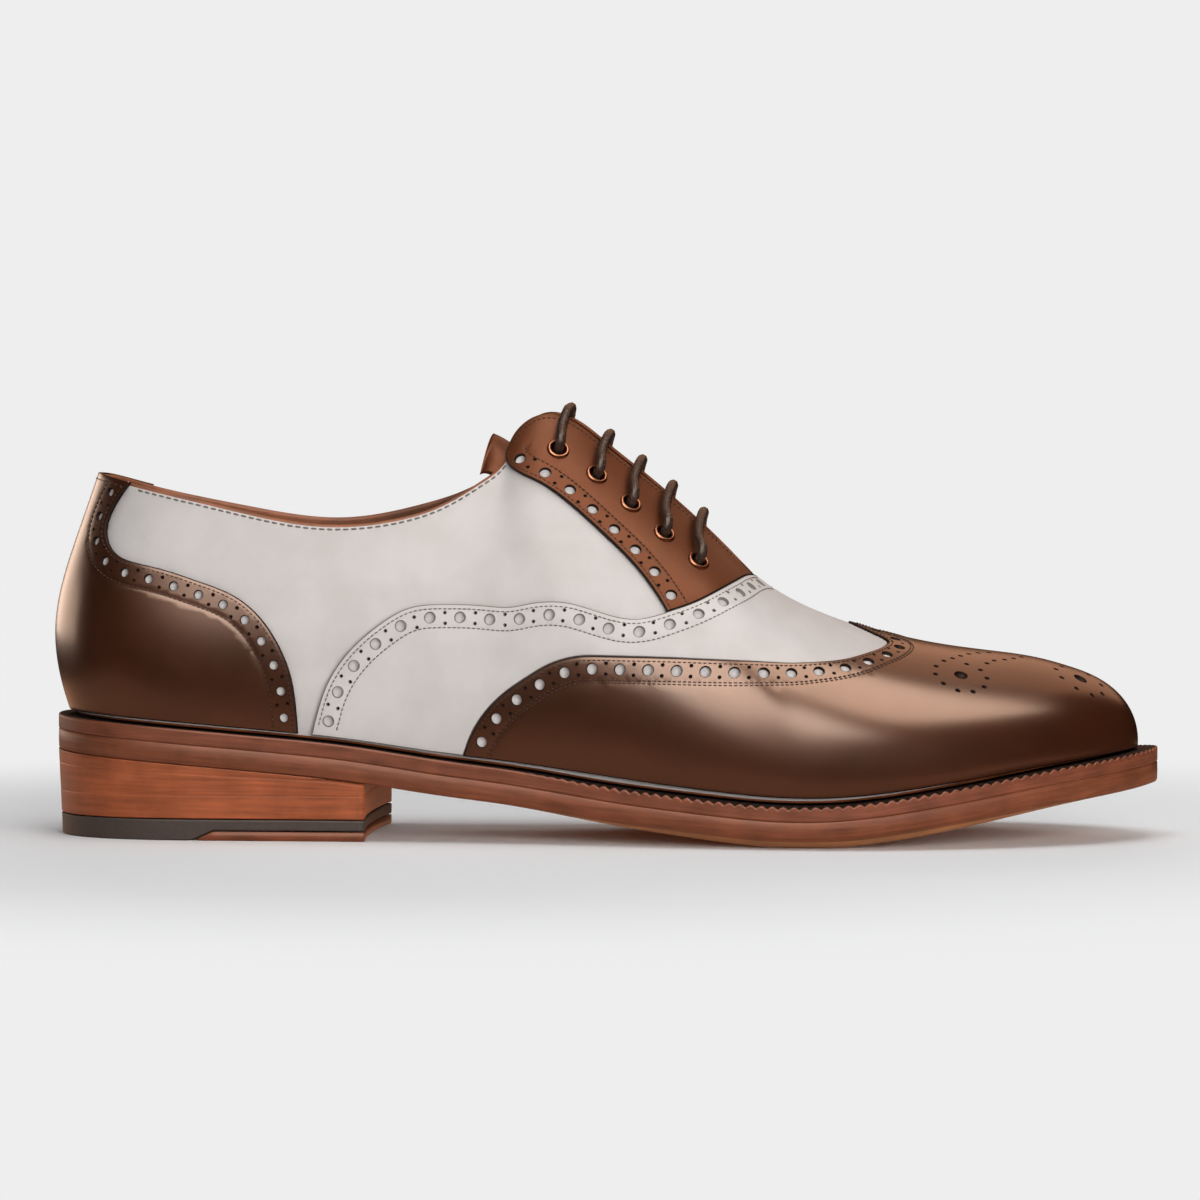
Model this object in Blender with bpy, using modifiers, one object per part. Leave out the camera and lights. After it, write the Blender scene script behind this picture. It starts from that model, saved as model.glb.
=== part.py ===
"""Spectator shoe: a right men's full-brogue Oxford, built over the form of its last.

Millimetres are written with MM. +X runs to the toe, +Y to the inner side of the foot, +Z up,
and the origin is on the floor under the middle of the heel.
A station counts the sections round one side of the shoe, from 0 at the back seam to TOE at the tip.
Stations past TOE run back along the inner side. A girth is the share of the way up a section,
from 0 at the welt to 1 at the top line or the ridge.
"""

import math

import bmesh
import bpy
import numpy as np
from mathutils import Vector, geometry

MM = 0.001

# Driving dimensions
SOLE_LENGTH = 303 * MM
BALL_WIDTH = 101.5 * MM
TOP_HEIGHT = 115.5 * MM
SEAT_RISE = 23.4 * MM
TOE_SPRING = 15 * MM
HEEL_CENTRE = 44 * MM
OUTSOLE_THICKNESS = 5.8 * MM
TREAD_CROWN = 2.0 * MM
EDGE_RISE = 1.0 * MM
EDGE_ROUND = 12 * MM
WELT_THICKNESS = 3.6 * MM
WELT_UNDERLAP = 4.5 * MM
INSOLE_THICKNESS = 3.2 * MM
WALL = 2.0 * MM
OVERLAY_THICKNESS = 1.1 * MM
CAP_THICKNESS = 1.7 * MM
GAP = 0.3 * MM
OVERLAY_GAP = 0.4 * MM
FOOT_MARGIN = 0.022
HEEL_BREAST = 89 * MM
HEEL_BREAST_HOLLOW = 1.5 * MM
HEEL_TAPER = 1.0 * MM
TOP_PIECE_THICKNESS = 5.7 * MM
TIP_THICKNESS = 2.5 * MM
TIP_START = 38.5 * MM
TIP_SLANT = 6 * MM
TONGUE_THICKNESS = 2.0 * MM
EYELET_BARREL_RADIUS = 2.3 * MM
EYELET_WALL = 0.3 * MM
EYELET_FLANGE_RADIUS = 3.15 * MM
EYELET_FLANGE_THICKNESS = 0.5 * MM
LACE_DIAMETER = 2.8 * MM

TOE = 15
LOOP = 2 * TOE

# One row for each section. Sole places are shares of SOLE_LENGTH and BALL_WIDTH, the ledge is the
# welt that shows outside the upper, a share of BALL_WIDTH. Leans and slopes are degrees, pulls are
# shares of the section's chord, and the fall is the ridge's slope towards the toe.
SECTIONS = (
    # sole_x, sole_outer, sole_inner, ledge, lean_outer, lean_inner, foot_pull, top_slope, top_pull, fall
    (0.001, 0.000, 0.000, 0.050, 20, 20, 0.41, 71, 0.50, 0.00),
    (0.021, -0.197, 0.197, 0.048, 18, 18, 0.41, 73, 0.47, 0.00),
    (0.083, -0.310, 0.310, 0.044, 14, 15, 0.40, 76, 0.44, 0.00),
    (0.165, -0.333, 0.327, 0.042, 10, 13, 0.39, 79, 0.42, 0.00),
    (0.248, -0.337, 0.315, 0.043, 8, 14, 0.38, 80, 0.40, 0.00),
    (0.330, -0.345, 0.299, 0.045, 8, 20, 0.38, 76, 0.40, 0.00),
    (0.409, -0.367, 0.292, 0.051, 9, 24, 0.38, 66, 0.37, 0.00),
    (0.482, -0.404, 0.311, 0.060, 10, 22, 0.37, 46, 0.31, 0.00),
    (0.554, -0.453, 0.360, 0.068, 11, 16, 0.36, 34, 0.28, -0.30),
    (0.627, -0.496, 0.419, 0.073, 12, 13, 0.38, 20, 0.26, -0.55),
    (0.700, -0.512, 0.468, 0.075, 13, 12, 0.40, 4, 0.28, -0.55),
    (0.772, -0.491, 0.488, 0.075, 13, 12, 0.41, 0, 0.32, -0.34),
    (0.845, -0.426, 0.461, 0.075, 12, 11, 0.41, 0, 0.36, -0.20),
    (0.911, -0.325, 0.389, 0.075, 10, 10, 0.41, 0, 0.38, -0.16),
    (0.964, -0.187, 0.274, 0.074, 8, 8, 0.40, 0, 0.40, -0.22),
    (1.000, 0.049, 0.049, 0.074, 6, 6, 0.40, 0, 0.40, -0.30),
)

# The top line: collar, then the facing's round corner, then the slit, then the closed ridge to the toe.
TOP_LINE = (
    # station, x, outer, inner, height, inner_rise
    (0.00, 0.043, 0.000, 0.000, 0.856, 0.000),
    (1.00, 0.051, -0.109, 0.109, 0.852, 0.002),
    (2.00, 0.090, -0.200, 0.200, 0.820, 0.005),
    (3.00, 0.165, -0.246, 0.246, 0.768, 0.009),
    (4.00, 0.248, -0.261, 0.266, 0.732, 0.012),
    (5.00, 0.325, -0.241, 0.251, 0.747, 0.012),
    (5.60, 0.364, -0.212, 0.222, 0.793, 0.011),
    (6.10, 0.394, -0.177, 0.182, 0.846, 0.010),
    (6.50, 0.413, -0.152, 0.156, 0.888, 0.010),
    (6.80, 0.417, -0.123, 0.123, 0.930, 0.006),
    (7.05, 0.428, -0.089, 0.089, 0.970, 0.004),
    (7.30, 0.447, -0.059, 0.059, 0.992, 0.004),
    (7.55, 0.467, -0.045, 0.045, 0.980, 0.005),
    (8.00, 0.498, -0.040, 0.040, 0.920, 0.006),
    (8.50, 0.535, -0.034, 0.034, 0.842, 0.006),
    (9.00, 0.573, -0.028, 0.028, 0.758, 0.004),
    (9.50, 0.609, -0.018, 0.018, 0.669, 0.003),
    (9.80, 0.631, 0.000, 0.000, 0.615, 0.000),
    (10.20, 0.659, 0.000, 0.000, 0.562, 0.000),
    (11.00, 0.715, 0.008, 0.008, 0.496, 0.000),
    (12.00, 0.784, 0.018, 0.018, 0.446, 0.000),
    (13.00, 0.846, 0.028, 0.028, 0.422, 0.000),
    (14.00, 0.891, 0.037, 0.037, 0.404, 0.000),
    (15.00, 0.922, 0.044, 0.044, 0.381, 0.000),
)
THROAT_STATION = 9.8
RIDGE_END = 14.85

# Edges of the overlays on either side of the shoe
WING_LINE = (
    # station, girth, from the foot to the peak on the ridge
    (5.62, 0.000),
    (5.75, 0.100),
    (5.93, 0.175),
    (6.28, 0.250),
    (6.74, 0.290),
    (7.41, 0.303),
    (8.06, 0.330),
    (8.80, 0.367),
    (9.43, 0.412),
    (10.34, 0.505),
    (10.75, 0.565),
    (11.04, 0.635),
    (11.30, 0.722),
    (11.41, 0.800),
    (11.28, 0.880),
    (11.06, 1.000),
)
VAMP_LINE = (
    # station, girth, from the foot to the throat
    (3.95, 0.000),
    (4.03, 0.120),
    (4.12, 0.235),
    (4.40, 0.430),
    (4.75, 0.560),
    (5.10, 0.622),
    (5.55, 0.608),
    (6.32, 0.517),
    (7.00, 0.452),
    (7.67, 0.418),
    (8.20, 0.435),
    (8.55, 0.478),
    (9.00, 0.560),
    (9.38, 0.675),
    (9.65, 0.815),
    (9.86, 1.000),
)
COUNTER_LINE = (
    # station, girth, from the foot to the collar
    (3.82, 0.000),
    (3.79, 0.175),
    (3.74, 0.290),
    (3.63, 0.410),
    (3.44, 0.535),
    (3.18, 0.622),
    (2.76, 0.670),
    (2.31, 0.698),
    (2.00, 0.707),
    (1.74, 0.725),
    (1.54, 0.768),
    (1.45, 0.815),
    (1.46, 0.870),
    (1.56, 0.925),
    (1.78, 1.000),
)
FACING_LINE = (
    # station, girth, from the collar down to the vamp
    (6.62, 1.000),
    (6.70, 0.955),
    (6.95, 0.855),
    (7.25, 0.765),
    (7.69, 0.685),
    (8.10, 0.630),
    (8.34, 0.577),
    (8.47, 0.528),
    (8.56, 0.478),
)
EYELETS = (
    # station, girth
    (7.50, 0.865),
    (7.98, 0.845),
    (8.38, 0.808),
    (8.74, 0.760),
    (9.11, 0.725),
)

# The sole's edge line, as shares of SOLE_LENGTH, SEAT_RISE and TOE_SPRING, and how far the middle of
# the tread hangs below it, as a share of TREAD_CROWN
SOLE_LINE = (
    # x, seat, spring, crown
    (0.000, 1.000, 0.00, 0.0),
    (0.099, 0.906, 0.00, 0.0),
    (0.198, 0.800, 0.00, 0.0),
    (0.277, 0.700, 0.00, 0.0),
    (0.360, 0.545, 0.00, 0.1),
    (0.426, 0.440, 0.00, 0.3),
    (0.508, 0.280, 0.00, 0.6),
    (0.597, 0.150, 0.00, 0.9),
    (0.650, 0.090, 0.00, 1.0),
    (0.690, 0.077, 0.00, 1.0),
    (0.730, 0.077, 0.04, 1.0),
    (0.790, 0.060, 0.23, 1.0),
    (0.845, 0.040, 0.45, 0.8),
    (0.910, 0.020, 0.71, 0.5),
    (0.960, 0.000, 0.88, 0.2),
    (1.000, 0.000, 1.00, 0.0),
)


def spline(knots, values):
    """A natural cubic spline through rows of values, as a function of the knot."""
    knots = np.asarray(knots, float)
    values = np.asarray(values, float)
    count = len(knots)
    steps = np.diff(knots)
    matrix = np.eye(count)
    bends = np.zeros_like(values)
    for i in range(1, count - 1):
        matrix[i, i - 1 : i + 2] = steps[i - 1], 2 * (steps[i - 1] + steps[i]), steps[i]
        rise = (values[i + 1] - values[i]) / steps[i] - (values[i] - values[i - 1]) / steps[i - 1]
        bends[i] = 6 * rise
    bends = np.linalg.solve(matrix, bends)

    def at(where):
        where = np.asarray(where, float)
        i = np.clip(np.searchsorted(knots, where) - 1, 0, count - 2)
        h = steps[i]
        a = (knots[i + 1] - where) / h
        b = 1 - a
        if values.ndim > 1:
            a, b, h = a[..., None], b[..., None], h[..., None]
        return (
            a * values[i]
            + b * values[i + 1]
            + ((a**3 - a) * bends[i] + (b**3 - b) * bends[i + 1]) * h * h / 6
        )

    return at


def round_both_ends(stations, outer, inner):
    """Rows of the outer side, carried on round the back seam and the toe by the inner side's rows."""
    reach = 3
    knots = [-s for s in stations[reach:0:-1]] + list(stations)
    knots += [LOOP - s for s in stations[-2 : -2 - reach : -1]]
    rows = list(inner[reach:0:-1]) + list(outer) + list(inner[-2 : -2 - reach : -1])
    return spline(knots, rows)


def side_splines(stations, outer, inner):
    return round_both_ends(stations, outer, inner), round_both_ends(stations, inner, outer)


def build_form():
    """The splines that every piece of the shoe is worked out from, outer side first."""
    stations = list(range(TOE + 1))
    sole = [[], []]
    shape = [[], []]
    for row in SECTIONS:
        for side in (0, 1):
            sole[side].append((row[0] * SOLE_LENGTH - HEEL_CENTRE, row[1 + side] * BALL_WIDTH))
            shape[side].append((row[3] * BALL_WIDTH, row[4 + side], *row[6:]))
    top_stations = [row[0] for row in TOP_LINE]
    top = [[], []]
    for row in TOP_LINE:
        for side in (0, 1):
            place = (row[1] * SOLE_LENGTH - HEEL_CENTRE, row[2 + side] * BALL_WIDTH)
            top[side].append((*place, (row[4] + side * row[5]) * TOP_HEIGHT))
    return {
        "sole": side_splines(stations, *sole),
        "shape": side_splines(stations, *shape),
        "top": side_splines(top_stations, *top),
    }


FORM = build_form()
LINE_TABLE = np.array(SOLE_LINE)
LINE_SPLINE = spline(
    LINE_TABLE[:, 0] * SOLE_LENGTH - HEEL_CENTRE,
    np.stack([LINE_TABLE[:, 1] * SEAT_RISE + LINE_TABLE[:, 2] * TOE_SPRING, LINE_TABLE[:, 3]], -1),
)


def sole_line(x):
    """Height of the outsole's lower edge line."""
    return LINE_SPLINE(x)[..., 0]


def tread_height(x):
    """Height of the outsole's underside along its middle, flat on the floor under the ball."""
    line = LINE_SPLINE(x)
    return np.maximum(line[..., 0] - TREAD_CROWN * np.clip(line[..., 1], 0, 1), 0)


def welt_top(x):
    return sole_line(x) + OUTSOLE_THICKNESS + GAP + WELT_THICKNESS


def pick(which, station):
    """The named spline at these stations, each on its own side."""
    station = np.mod(np.asarray(station, float), LOOP)
    inner = station > TOE
    local = np.where(inner, LOOP - station, station)
    outer_values = FORM[which][0](local)
    inner_values = FORM[which][1](local)
    return np.where(inner[..., None], inner_values, outer_values)


def sole_edge(station):
    """The sole's outline in plan and its outward direction."""
    step = 0.01
    ahead = pick("sole", np.asarray(station) + step)
    behind = pick("sole", np.asarray(station) - step)
    run = ahead - behind
    out = np.stack([run[..., 1], -run[..., 0]], -1)
    out = -out / np.linalg.norm(out, axis=-1, keepdims=True)
    return pick("sole", station), -out


def foot_line(station):
    """Where the upper meets the welt, and the outward direction there."""
    edge, out = sole_edge(station)
    ledge = pick("shape", station)[..., 0:1]
    plan = edge - out * ledge
    height = welt_top(plan[..., 0]) + GAP
    return np.concatenate([plan, height[..., None]], -1), out


def last_form(station, girth):
    """A point of the upper's base surface, from the welt up to the top line or the ridge."""
    station, girth = np.broadcast_arrays(np.asarray(station, float), np.asarray(girth, float))
    foot, out = foot_line(station)
    top = pick("top", station)
    _, lean, foot_pull, slope, top_pull, fall = np.moveaxis(pick("shape", station), -1, 0)
    local = np.where(np.mod(station, LOOP) > TOE, LOOP - np.mod(station, LOOP), np.mod(station, LOOP))
    closed = local >= THROAT_STATION
    middle = 0.5 * (FORM["top"][0](local) + FORM["top"][1](local))
    top = np.where(closed[..., None], middle, top)
    lean = np.radians(lean)
    slope = np.radians(np.maximum(slope, 0))
    chord = np.linalg.norm(top - foot, axis=-1)
    rise = foot_pull * chord
    reach = top_pull * chord
    low = foot.copy()
    low[..., :2] += out * (np.sin(lean) * rise)[..., None]
    low[..., 2] += np.cos(lean) * rise
    high = top.copy()
    high[..., :2] += out * (np.cos(slope) * reach)[..., None]
    high[..., 2] += (fall * out[..., 0] * np.cos(slope) - np.sin(slope)) * reach
    t = girth[..., None]
    u = 1 - t
    return u**3 * foot + 3 * u * u * t * low + 3 * u * t * t * high + t**3 * top


def last_normal(station, girth):
    """The outward direction of the base surface."""
    small = 0.004
    station, girth = np.broadcast_arrays(np.asarray(station, float), np.asarray(girth, float))
    girth = np.clip(girth, 0.001, 0.992)
    up = girth + small
    down = girth - small
    along = last_form(station + small, girth) - last_form(station - small, girth)
    rise = last_form(station, up) - last_form(station, down)
    out = np.cross(along, rise)
    return out / np.linalg.norm(out, axis=-1, keepdims=True)


def lifted(station, girth, lift):
    """The base surface raised outwards. On the closed ridge both sides share one direction."""
    station = np.mod(np.asarray(station, float), LOOP)
    girth = np.asarray(girth, float)
    out = last_normal(station, girth)
    local = np.minimum(station, LOOP - station)
    ridge = (girth > 1 - 1e-6) & (local >= THROAT_STATION)
    other = last_normal(LOOP - station, girth)
    shared = out + other
    shared /= np.maximum(np.linalg.norm(shared, axis=-1, keepdims=True), 1e-9)
    out = np.where(ridge[..., None], shared, out)
    return last_form(station, girth) + out * lift


def smooth_line(rows, spacing):
    """A line of (station, girth) rows drawn as a smooth curve, with points about this far apart."""
    rows = np.array(rows, float)
    places = last_form(rows[:, 0], rows[:, 1])
    run = np.concatenate([[0], np.cumsum(np.linalg.norm(np.diff(places, axis=0), axis=1))])
    count = max(int(round(run[-1] / spacing)), 4)
    return spline(run, rows)(np.linspace(0, run[-1], count + 1))


def shift_line(line, distance):
    """The line moved sideways over the surface, to the left of its direction for a positive distance."""
    step = 1e-4
    s, g = line[:, 0], line[:, 1]
    inside = np.clip(g, step, 1 - step)
    along_s = (last_form(s + step, inside) - last_form(s - step, inside)) / (2 * step)
    along_g = (last_form(s, inside + step) - last_form(s, inside - step)) / (2 * step)
    turn = np.gradient(line, axis=0)
    run = along_s * turn[:, :1] + along_g * turn[:, 1:]
    side = np.cross(np.cross(along_s, along_g), run)
    side /= np.linalg.norm(side, axis=1, keepdims=True)
    a = (along_s * along_s).sum(1)
    b = (along_s * along_g).sum(1)
    c = (along_g * along_g).sum(1)
    p = (along_s * side).sum(1) * distance
    q = (along_g * side).sum(1) * distance
    det = a * c - b * b
    moved = np.stack([s + (c * p - b * q) / det, g + (a * q - b * p) / det], 1)
    return moved


def between(line, low, high):
    """The line with its two ends brought onto these girths."""
    line = line.copy()
    line[0, 1] = low
    line[-1, 1] = high
    return line


def mirrored(line):
    """The same line on the inner side, run the other way."""
    return np.stack([LOOP - line[::-1, 0], line[::-1, 1]], 1)


def clear_scene():
    for found in list(bpy.data.objects):
        bpy.data.objects.remove(found)


def new_collection(name):
    made = bpy.data.collections.new(name)
    bpy.context.scene.collection.children.link(made)
    return made


def finish_material(name, colour, roughness, metallic=0.0):
    made = bpy.data.materials.new(name)
    made.use_nodes = True
    shader = made.node_tree.nodes["Principled BSDF"]
    shader.inputs["Base Color"].default_value = (*colour, 1)
    shader.inputs["Roughness"].default_value = roughness
    shader.inputs["Metallic"].default_value = metallic
    made.diffuse_color = (*colour, 1)
    return made


def link_mesh(name, points, faces, collection, material):
    """A mesh object from points and faces, with points that meet welded."""
    mesh = bpy.data.meshes.new(name)
    mesh.from_pydata([tuple(p) for p in points], [], [tuple(f) for f in faces])
    built = bmesh.new()
    built.from_mesh(mesh)
    bmesh.ops.remove_doubles(built, verts=built.verts, dist=0.002 * MM)
    bmesh.ops.dissolve_degenerate(built, edges=built.edges, dist=0.001 * MM)
    built.to_mesh(mesh)
    built.free()
    mesh.materials.append(material)
    mesh.shade_smooth()
    made = bpy.data.objects.new(name, mesh)
    collection.objects.link(made)
    return made


def thicken(piece, thickness, outwards):
    wall = piece.modifiers.new("wall", "SOLIDIFY")
    wall.thickness = thickness
    wall.offset = 1 if outwards else -1
    wall.use_even_offset = True


def upper_stations():
    """Stations of the upper's columns on the outer side, closer round the heel, throat and toe."""
    parts = [
        np.linspace(0, 2, 7)[:-1],
        np.linspace(2, 6, 9)[:-1],
        np.linspace(6, 7.5, 8)[:-1],
        np.linspace(7.5, THROAT_STATION, 8)[:-1],
        np.linspace(THROAT_STATION, RIDGE_END, 12),
    ]
    return np.concatenate(parts)


def both_sides(side):
    """Stations of one side and their mirrors, round the whole shoe."""
    return np.concatenate([side, LOOP - side[:0:-1]])


# Millimetres that one station and one whole girth span, which evens out cells drawn on the last
SPREAD = np.array([20.0, 70.0])
GRID_CLEARANCE = 1.6
SHEAR = 0.05
SLIVER = 0.01
SAME_PLACE = 0.05

OUTLINE_SPACING = 5 * MM
VAMP_SPACING = 4 * MM
COUNTER_SPACING = 3.5 * MM
SLIT_SPACING = 3.2 * MM
LOWER_SPACING = 2 * MM
COUNTER_END = 5
SLIT_START = THROAT_STATION - 0.12
LOWER_END = 0.985

UPPER_GIRTHS = np.array([0, 0.11, 0.23, 0.35, 0.48, 0.61, 0.74, 0.87, 1.0])


def build_upper(collection, material):
    """The whole upper's wall as one open surface, its ridge welded ahead of the throat."""
    stations = both_sides(upper_stations())
    s, g = np.meshgrid(stations, UPPER_GIRTHS, indexing="ij")
    points = last_form(s, g).reshape(-1, 3)
    rows = len(UPPER_GIRTHS)
    faces = []
    for i in range(len(stations)):
        j = (i + 1) % len(stations)
        for k in range(rows - 1):
            faces.append((i * rows + k, j * rows + k, i * rows + k + 1))
            faces.append((j * rows + k, j * rows + k + 1, i * rows + k + 1))
    upper = link_mesh("upper", points, faces, collection, material)
    thicken(upper, WALL, False)
    return upper


def inside_outline(outline, points, margin):
    """Which points lie inside the closed outline, at least the margin from it."""
    inside = np.zeros(len(points), bool)
    near = np.full(len(points), 1e9)
    following = np.roll(outline, -1, axis=0)
    for a, b in zip(outline, following):
        crossing = (a[1] > points[:, 1]) != (b[1] > points[:, 1])
        if a[1] != b[1]:
            reach = (b[0] - a[0]) * (points[:, 1] - a[1]) / (b[1] - a[1]) + a[0]
            inside ^= crossing & (points[:, 0] < reach)
        edge = b - a
        share = np.clip(((points - a) @ edge) / max(edge @ edge, 1e-12), 0, 1)
        near = np.minimum(near, np.linalg.norm(points - a - share[:, None] * edge, axis=1))
    return inside & (near > margin)


def triangulate(outline, stations):
    """Points and triangles filling an outline given in station and girth.

    The points inside are the upper's own, and the shear makes every cell split on the upper's diagonal.
    """
    s, g = np.meshgrid(stations, UPPER_GIRTHS, indexing="ij")
    grid = np.stack([s.ravel(), g.ravel()], 1)
    grid = grid[inside_outline(outline * SPREAD, grid * SPREAD, GRID_CLEARANCE)]
    points = np.concatenate([outline, grid])
    sheared = points * SPREAD
    sheared[:, 0] += SHEAR * sheared[:, 1]
    corners = [Vector(p) for p in sheared.tolist()]
    found = geometry.delaunay_2d_cdt(corners, [], [list(range(len(outline)))], 1, 1e-4)
    flat = np.array([tuple(p) for p in found[0]])
    flat[:, 0] -= SHEAR * flat[:, 1]
    faces = []
    for face in found[2]:
        a, b, c = flat[face[0]], flat[face[1]], flat[face[2]]
        if (b[0] - a[0]) * (c[1] - a[1]) - (c[0] - a[0]) * (b[1] - a[1]) > SLIVER:
            faces.append(face)
    return flat / SPREAD, faces


def build_overlay(name, outlines, thickness, collection, material):
    """A piece of leather laid over the upper. Outlines that meet on the ridge are welded there."""
    places = []
    faces = []
    for outline, stations in outlines:
        flat, found = triangulate(outline, stations)
        first = len(places)
        places += list(lifted(flat[:, 0], flat[:, 1], OVERLAY_GAP))
        faces += [[i + first for i in face] for face in found]
    piece = link_mesh(name, places, faces, collection, material)
    thicken(piece, thickness, True)
    return piece


def ridge_run(first, last, spacing):
    """Points along the ridge from one station to the other."""
    count = max(int(round(abs(last - first) * SPREAD[0] * MM / spacing)), 1)
    stations = np.linspace(first, last, count + 1)
    return np.stack([stations, np.ones(count + 1)], 1)


def foot_run(first, last, spacing):
    points = ridge_run(first, last, spacing)
    points[:, 1] = FOOT_MARGIN
    return points


def closed_outline(*runs):
    """Runs of points joined end to end, with the shared ends kept once."""
    points = np.concatenate(runs)
    kept = [points[0]]
    for point in points[1:]:
        if np.linalg.norm((point - kept[-1]) * SPREAD) > SAME_PLACE:
            kept.append(point)
    if np.linalg.norm((kept[0] - kept[-1]) * SPREAD) < SAME_PLACE:
        kept.pop()
    return np.array(kept)


def build_overlays(collection, brown, white):
    """The wing cap, vamp, counter and facings, laid over the upper."""
    spacing = OUTLINE_SPACING
    side = upper_stations()
    all_stations = both_sides(side)

    wing = between(smooth_line(WING_LINE, spacing), FOOT_MARGIN, 1)
    peak = wing[-1, 0]
    ridge = ridge_run(peak, RIDGE_END, spacing)
    outline = closed_outline(
        wing, ridge, mirrored(ridge), mirrored(wing), foot_run(LOOP - wing[0, 0], wing[0, 0], spacing)
    )
    build_overlay("wing_cap", [(outline, all_stations)], CAP_THICKNESS, collection, brown)

    front = between(shift_line(smooth_line(WING_LINE, spacing), GAP), FOOT_MARGIN, 1)
    back = between(smooth_line(VAMP_LINE, VAMP_SPACING), FOOT_MARGIN, 1)
    ridge = ridge_run(back[-1, 0], front[-1, 0], spacing)
    outer_half = closed_outline(back, ridge, front[::-1], foot_run(front[0, 0], back[0, 0], spacing))
    halves = [(outer_half, side), (mirrored(outer_half), LOOP - side)]
    build_overlay("vamp", halves, OVERLAY_THICKNESS, collection, white)

    edge = between(smooth_line(COUNTER_LINE, COUNTER_SPACING), FOOT_MARGIN, 1)
    ahead = np.concatenate([side[side < COUNTER_END], [COUNTER_END]])
    stations = np.concatenate([-ahead[:0:-1], ahead])
    other = edge[::-1] * (-1, 1)
    collar = ridge_run(other[0, 0], edge[-1, 0], spacing)
    outline = closed_outline(
        edge[::-1], foot_run(edge[0, 0], other[-1, 0], spacing), other[::-1], collar
    )
    build_overlay("counter", [(outline[::-1], stations)], OVERLAY_THICKNESS, collection, brown)

    upper_edge = smooth_line(FACING_LINE, VAMP_SPACING)
    upper_edge[0, 1] = 1
    lower = shift_line(smooth_line(VAMP_LINE, LOWER_SPACING), GAP)
    meet = np.argmin(np.linalg.norm((lower - upper_edge[-1]) * SPREAD, axis=1))
    lower = lower[meet:]
    lower = lower[lower[:, 1] < LOWER_END]
    slit = ridge_run(SLIT_START, upper_edge[0, 0], SLIT_SPACING)
    outline = closed_outline(upper_edge[:-1], lower[::2], slit)
    build_overlay("facing_outer", [(outline, side)], OVERLAY_THICKNESS, collection, brown)
    inner = [(mirrored(outline), LOOP - side)]
    build_overlay("facing_inner", inner, OVERLAY_THICKNESS, collection, brown)


SOLE_SIDE = np.concatenate([np.linspace(0, 2, 6)[:-1], np.linspace(2, 13, 17)[:-1], np.linspace(13, 15, 6)])


SPINE_START = 0.105
SPINE_SPAN = 0.79
TREAD_SHARES = (0, 0.12, 0.34, 1)
PLATFORM_SHARES = (0, 0.4, 1)


def sole_loop():
    return np.concatenate([SOLE_SIDE, LOOP - SOLE_SIDE[-2:0:-1]])


def inset_edge(stations, inset):
    edge, out = sole_edge(stations)
    return edge - out * np.reshape(inset, (-1, 1))


def sole_spine(stations):
    """A point of the sole's middle line for each station, short of the heel's back and the toe."""
    outer = pick("sole", np.minimum(stations, LOOP - stations))
    inner = pick("sole", np.maximum(stations, LOOP - stations))
    middle = 0.5 * (outer + inner)
    share = (middle[:, 0] + HEEL_CENTRE) / SOLE_LENGTH
    middle[:, 0] = (SPINE_START + SPINE_SPAN * share) * SOLE_LENGTH - HEEL_CENTRE
    return middle


def build_plate(name, low_rings, high_rings, collection, material):
    """A plate over the sole's outline.

    Each ring gives an inset from the sole's edge, a share of the way on from there to the middle line,
    and the height as a function of x and of the distance to the edge. Upper and lower faces split their
    cells on the same diagonal, so plates that lie on each other stay apart.
    """
    stations = sole_loop()
    whole, _ = sole_edge(stations)
    spine = sole_spine(stations)
    points = []
    for inset, share, height in low_rings[::-1] + high_rings:
        plan = inset_edge(stations, inset) * (1 - share) + spine * share
        depth = np.linalg.norm(plan - whole, axis=1)
        points.append(np.column_stack([plan, height(plan[:, 0], depth)]))
    count = len(stations)
    faces = []
    for i in range(count):
        j = (i + 1) % count
        for k in range(len(points) - 1):
            a, b, c, d = k * count + i, k * count + j, (k + 1) * count + j, (k + 1) * count + i
            if k < len(low_rings) - 1:
                faces += [(a, b, d), (b, c, d)]
            else:
                faces += [(a, b, c), (a, c, d)]
    return link_mesh(name, np.concatenate(points), faces, collection, material)


def build_ring(name, outer_inset, inner_inset, low, high, collection, material):
    stations = sole_loop()
    outer = inset_edge(stations, outer_inset)
    inner = inset_edge(stations, inner_inset)
    points = []
    for plan, height in ((outer, low), (outer, high), (inner, high), (inner, low)):
        points.append(np.column_stack([plan, height(plan[:, 0])]))
    count = len(stations)
    faces = []
    for i in range(count):
        j = (i + 1) % count
        for k in range(4):
            up = (k + 1) % 4
            faces.append((k * count + i, k * count + j, up * count + j, up * count + i))
    return link_mesh(name, np.concatenate(points), faces, collection, material)


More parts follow.
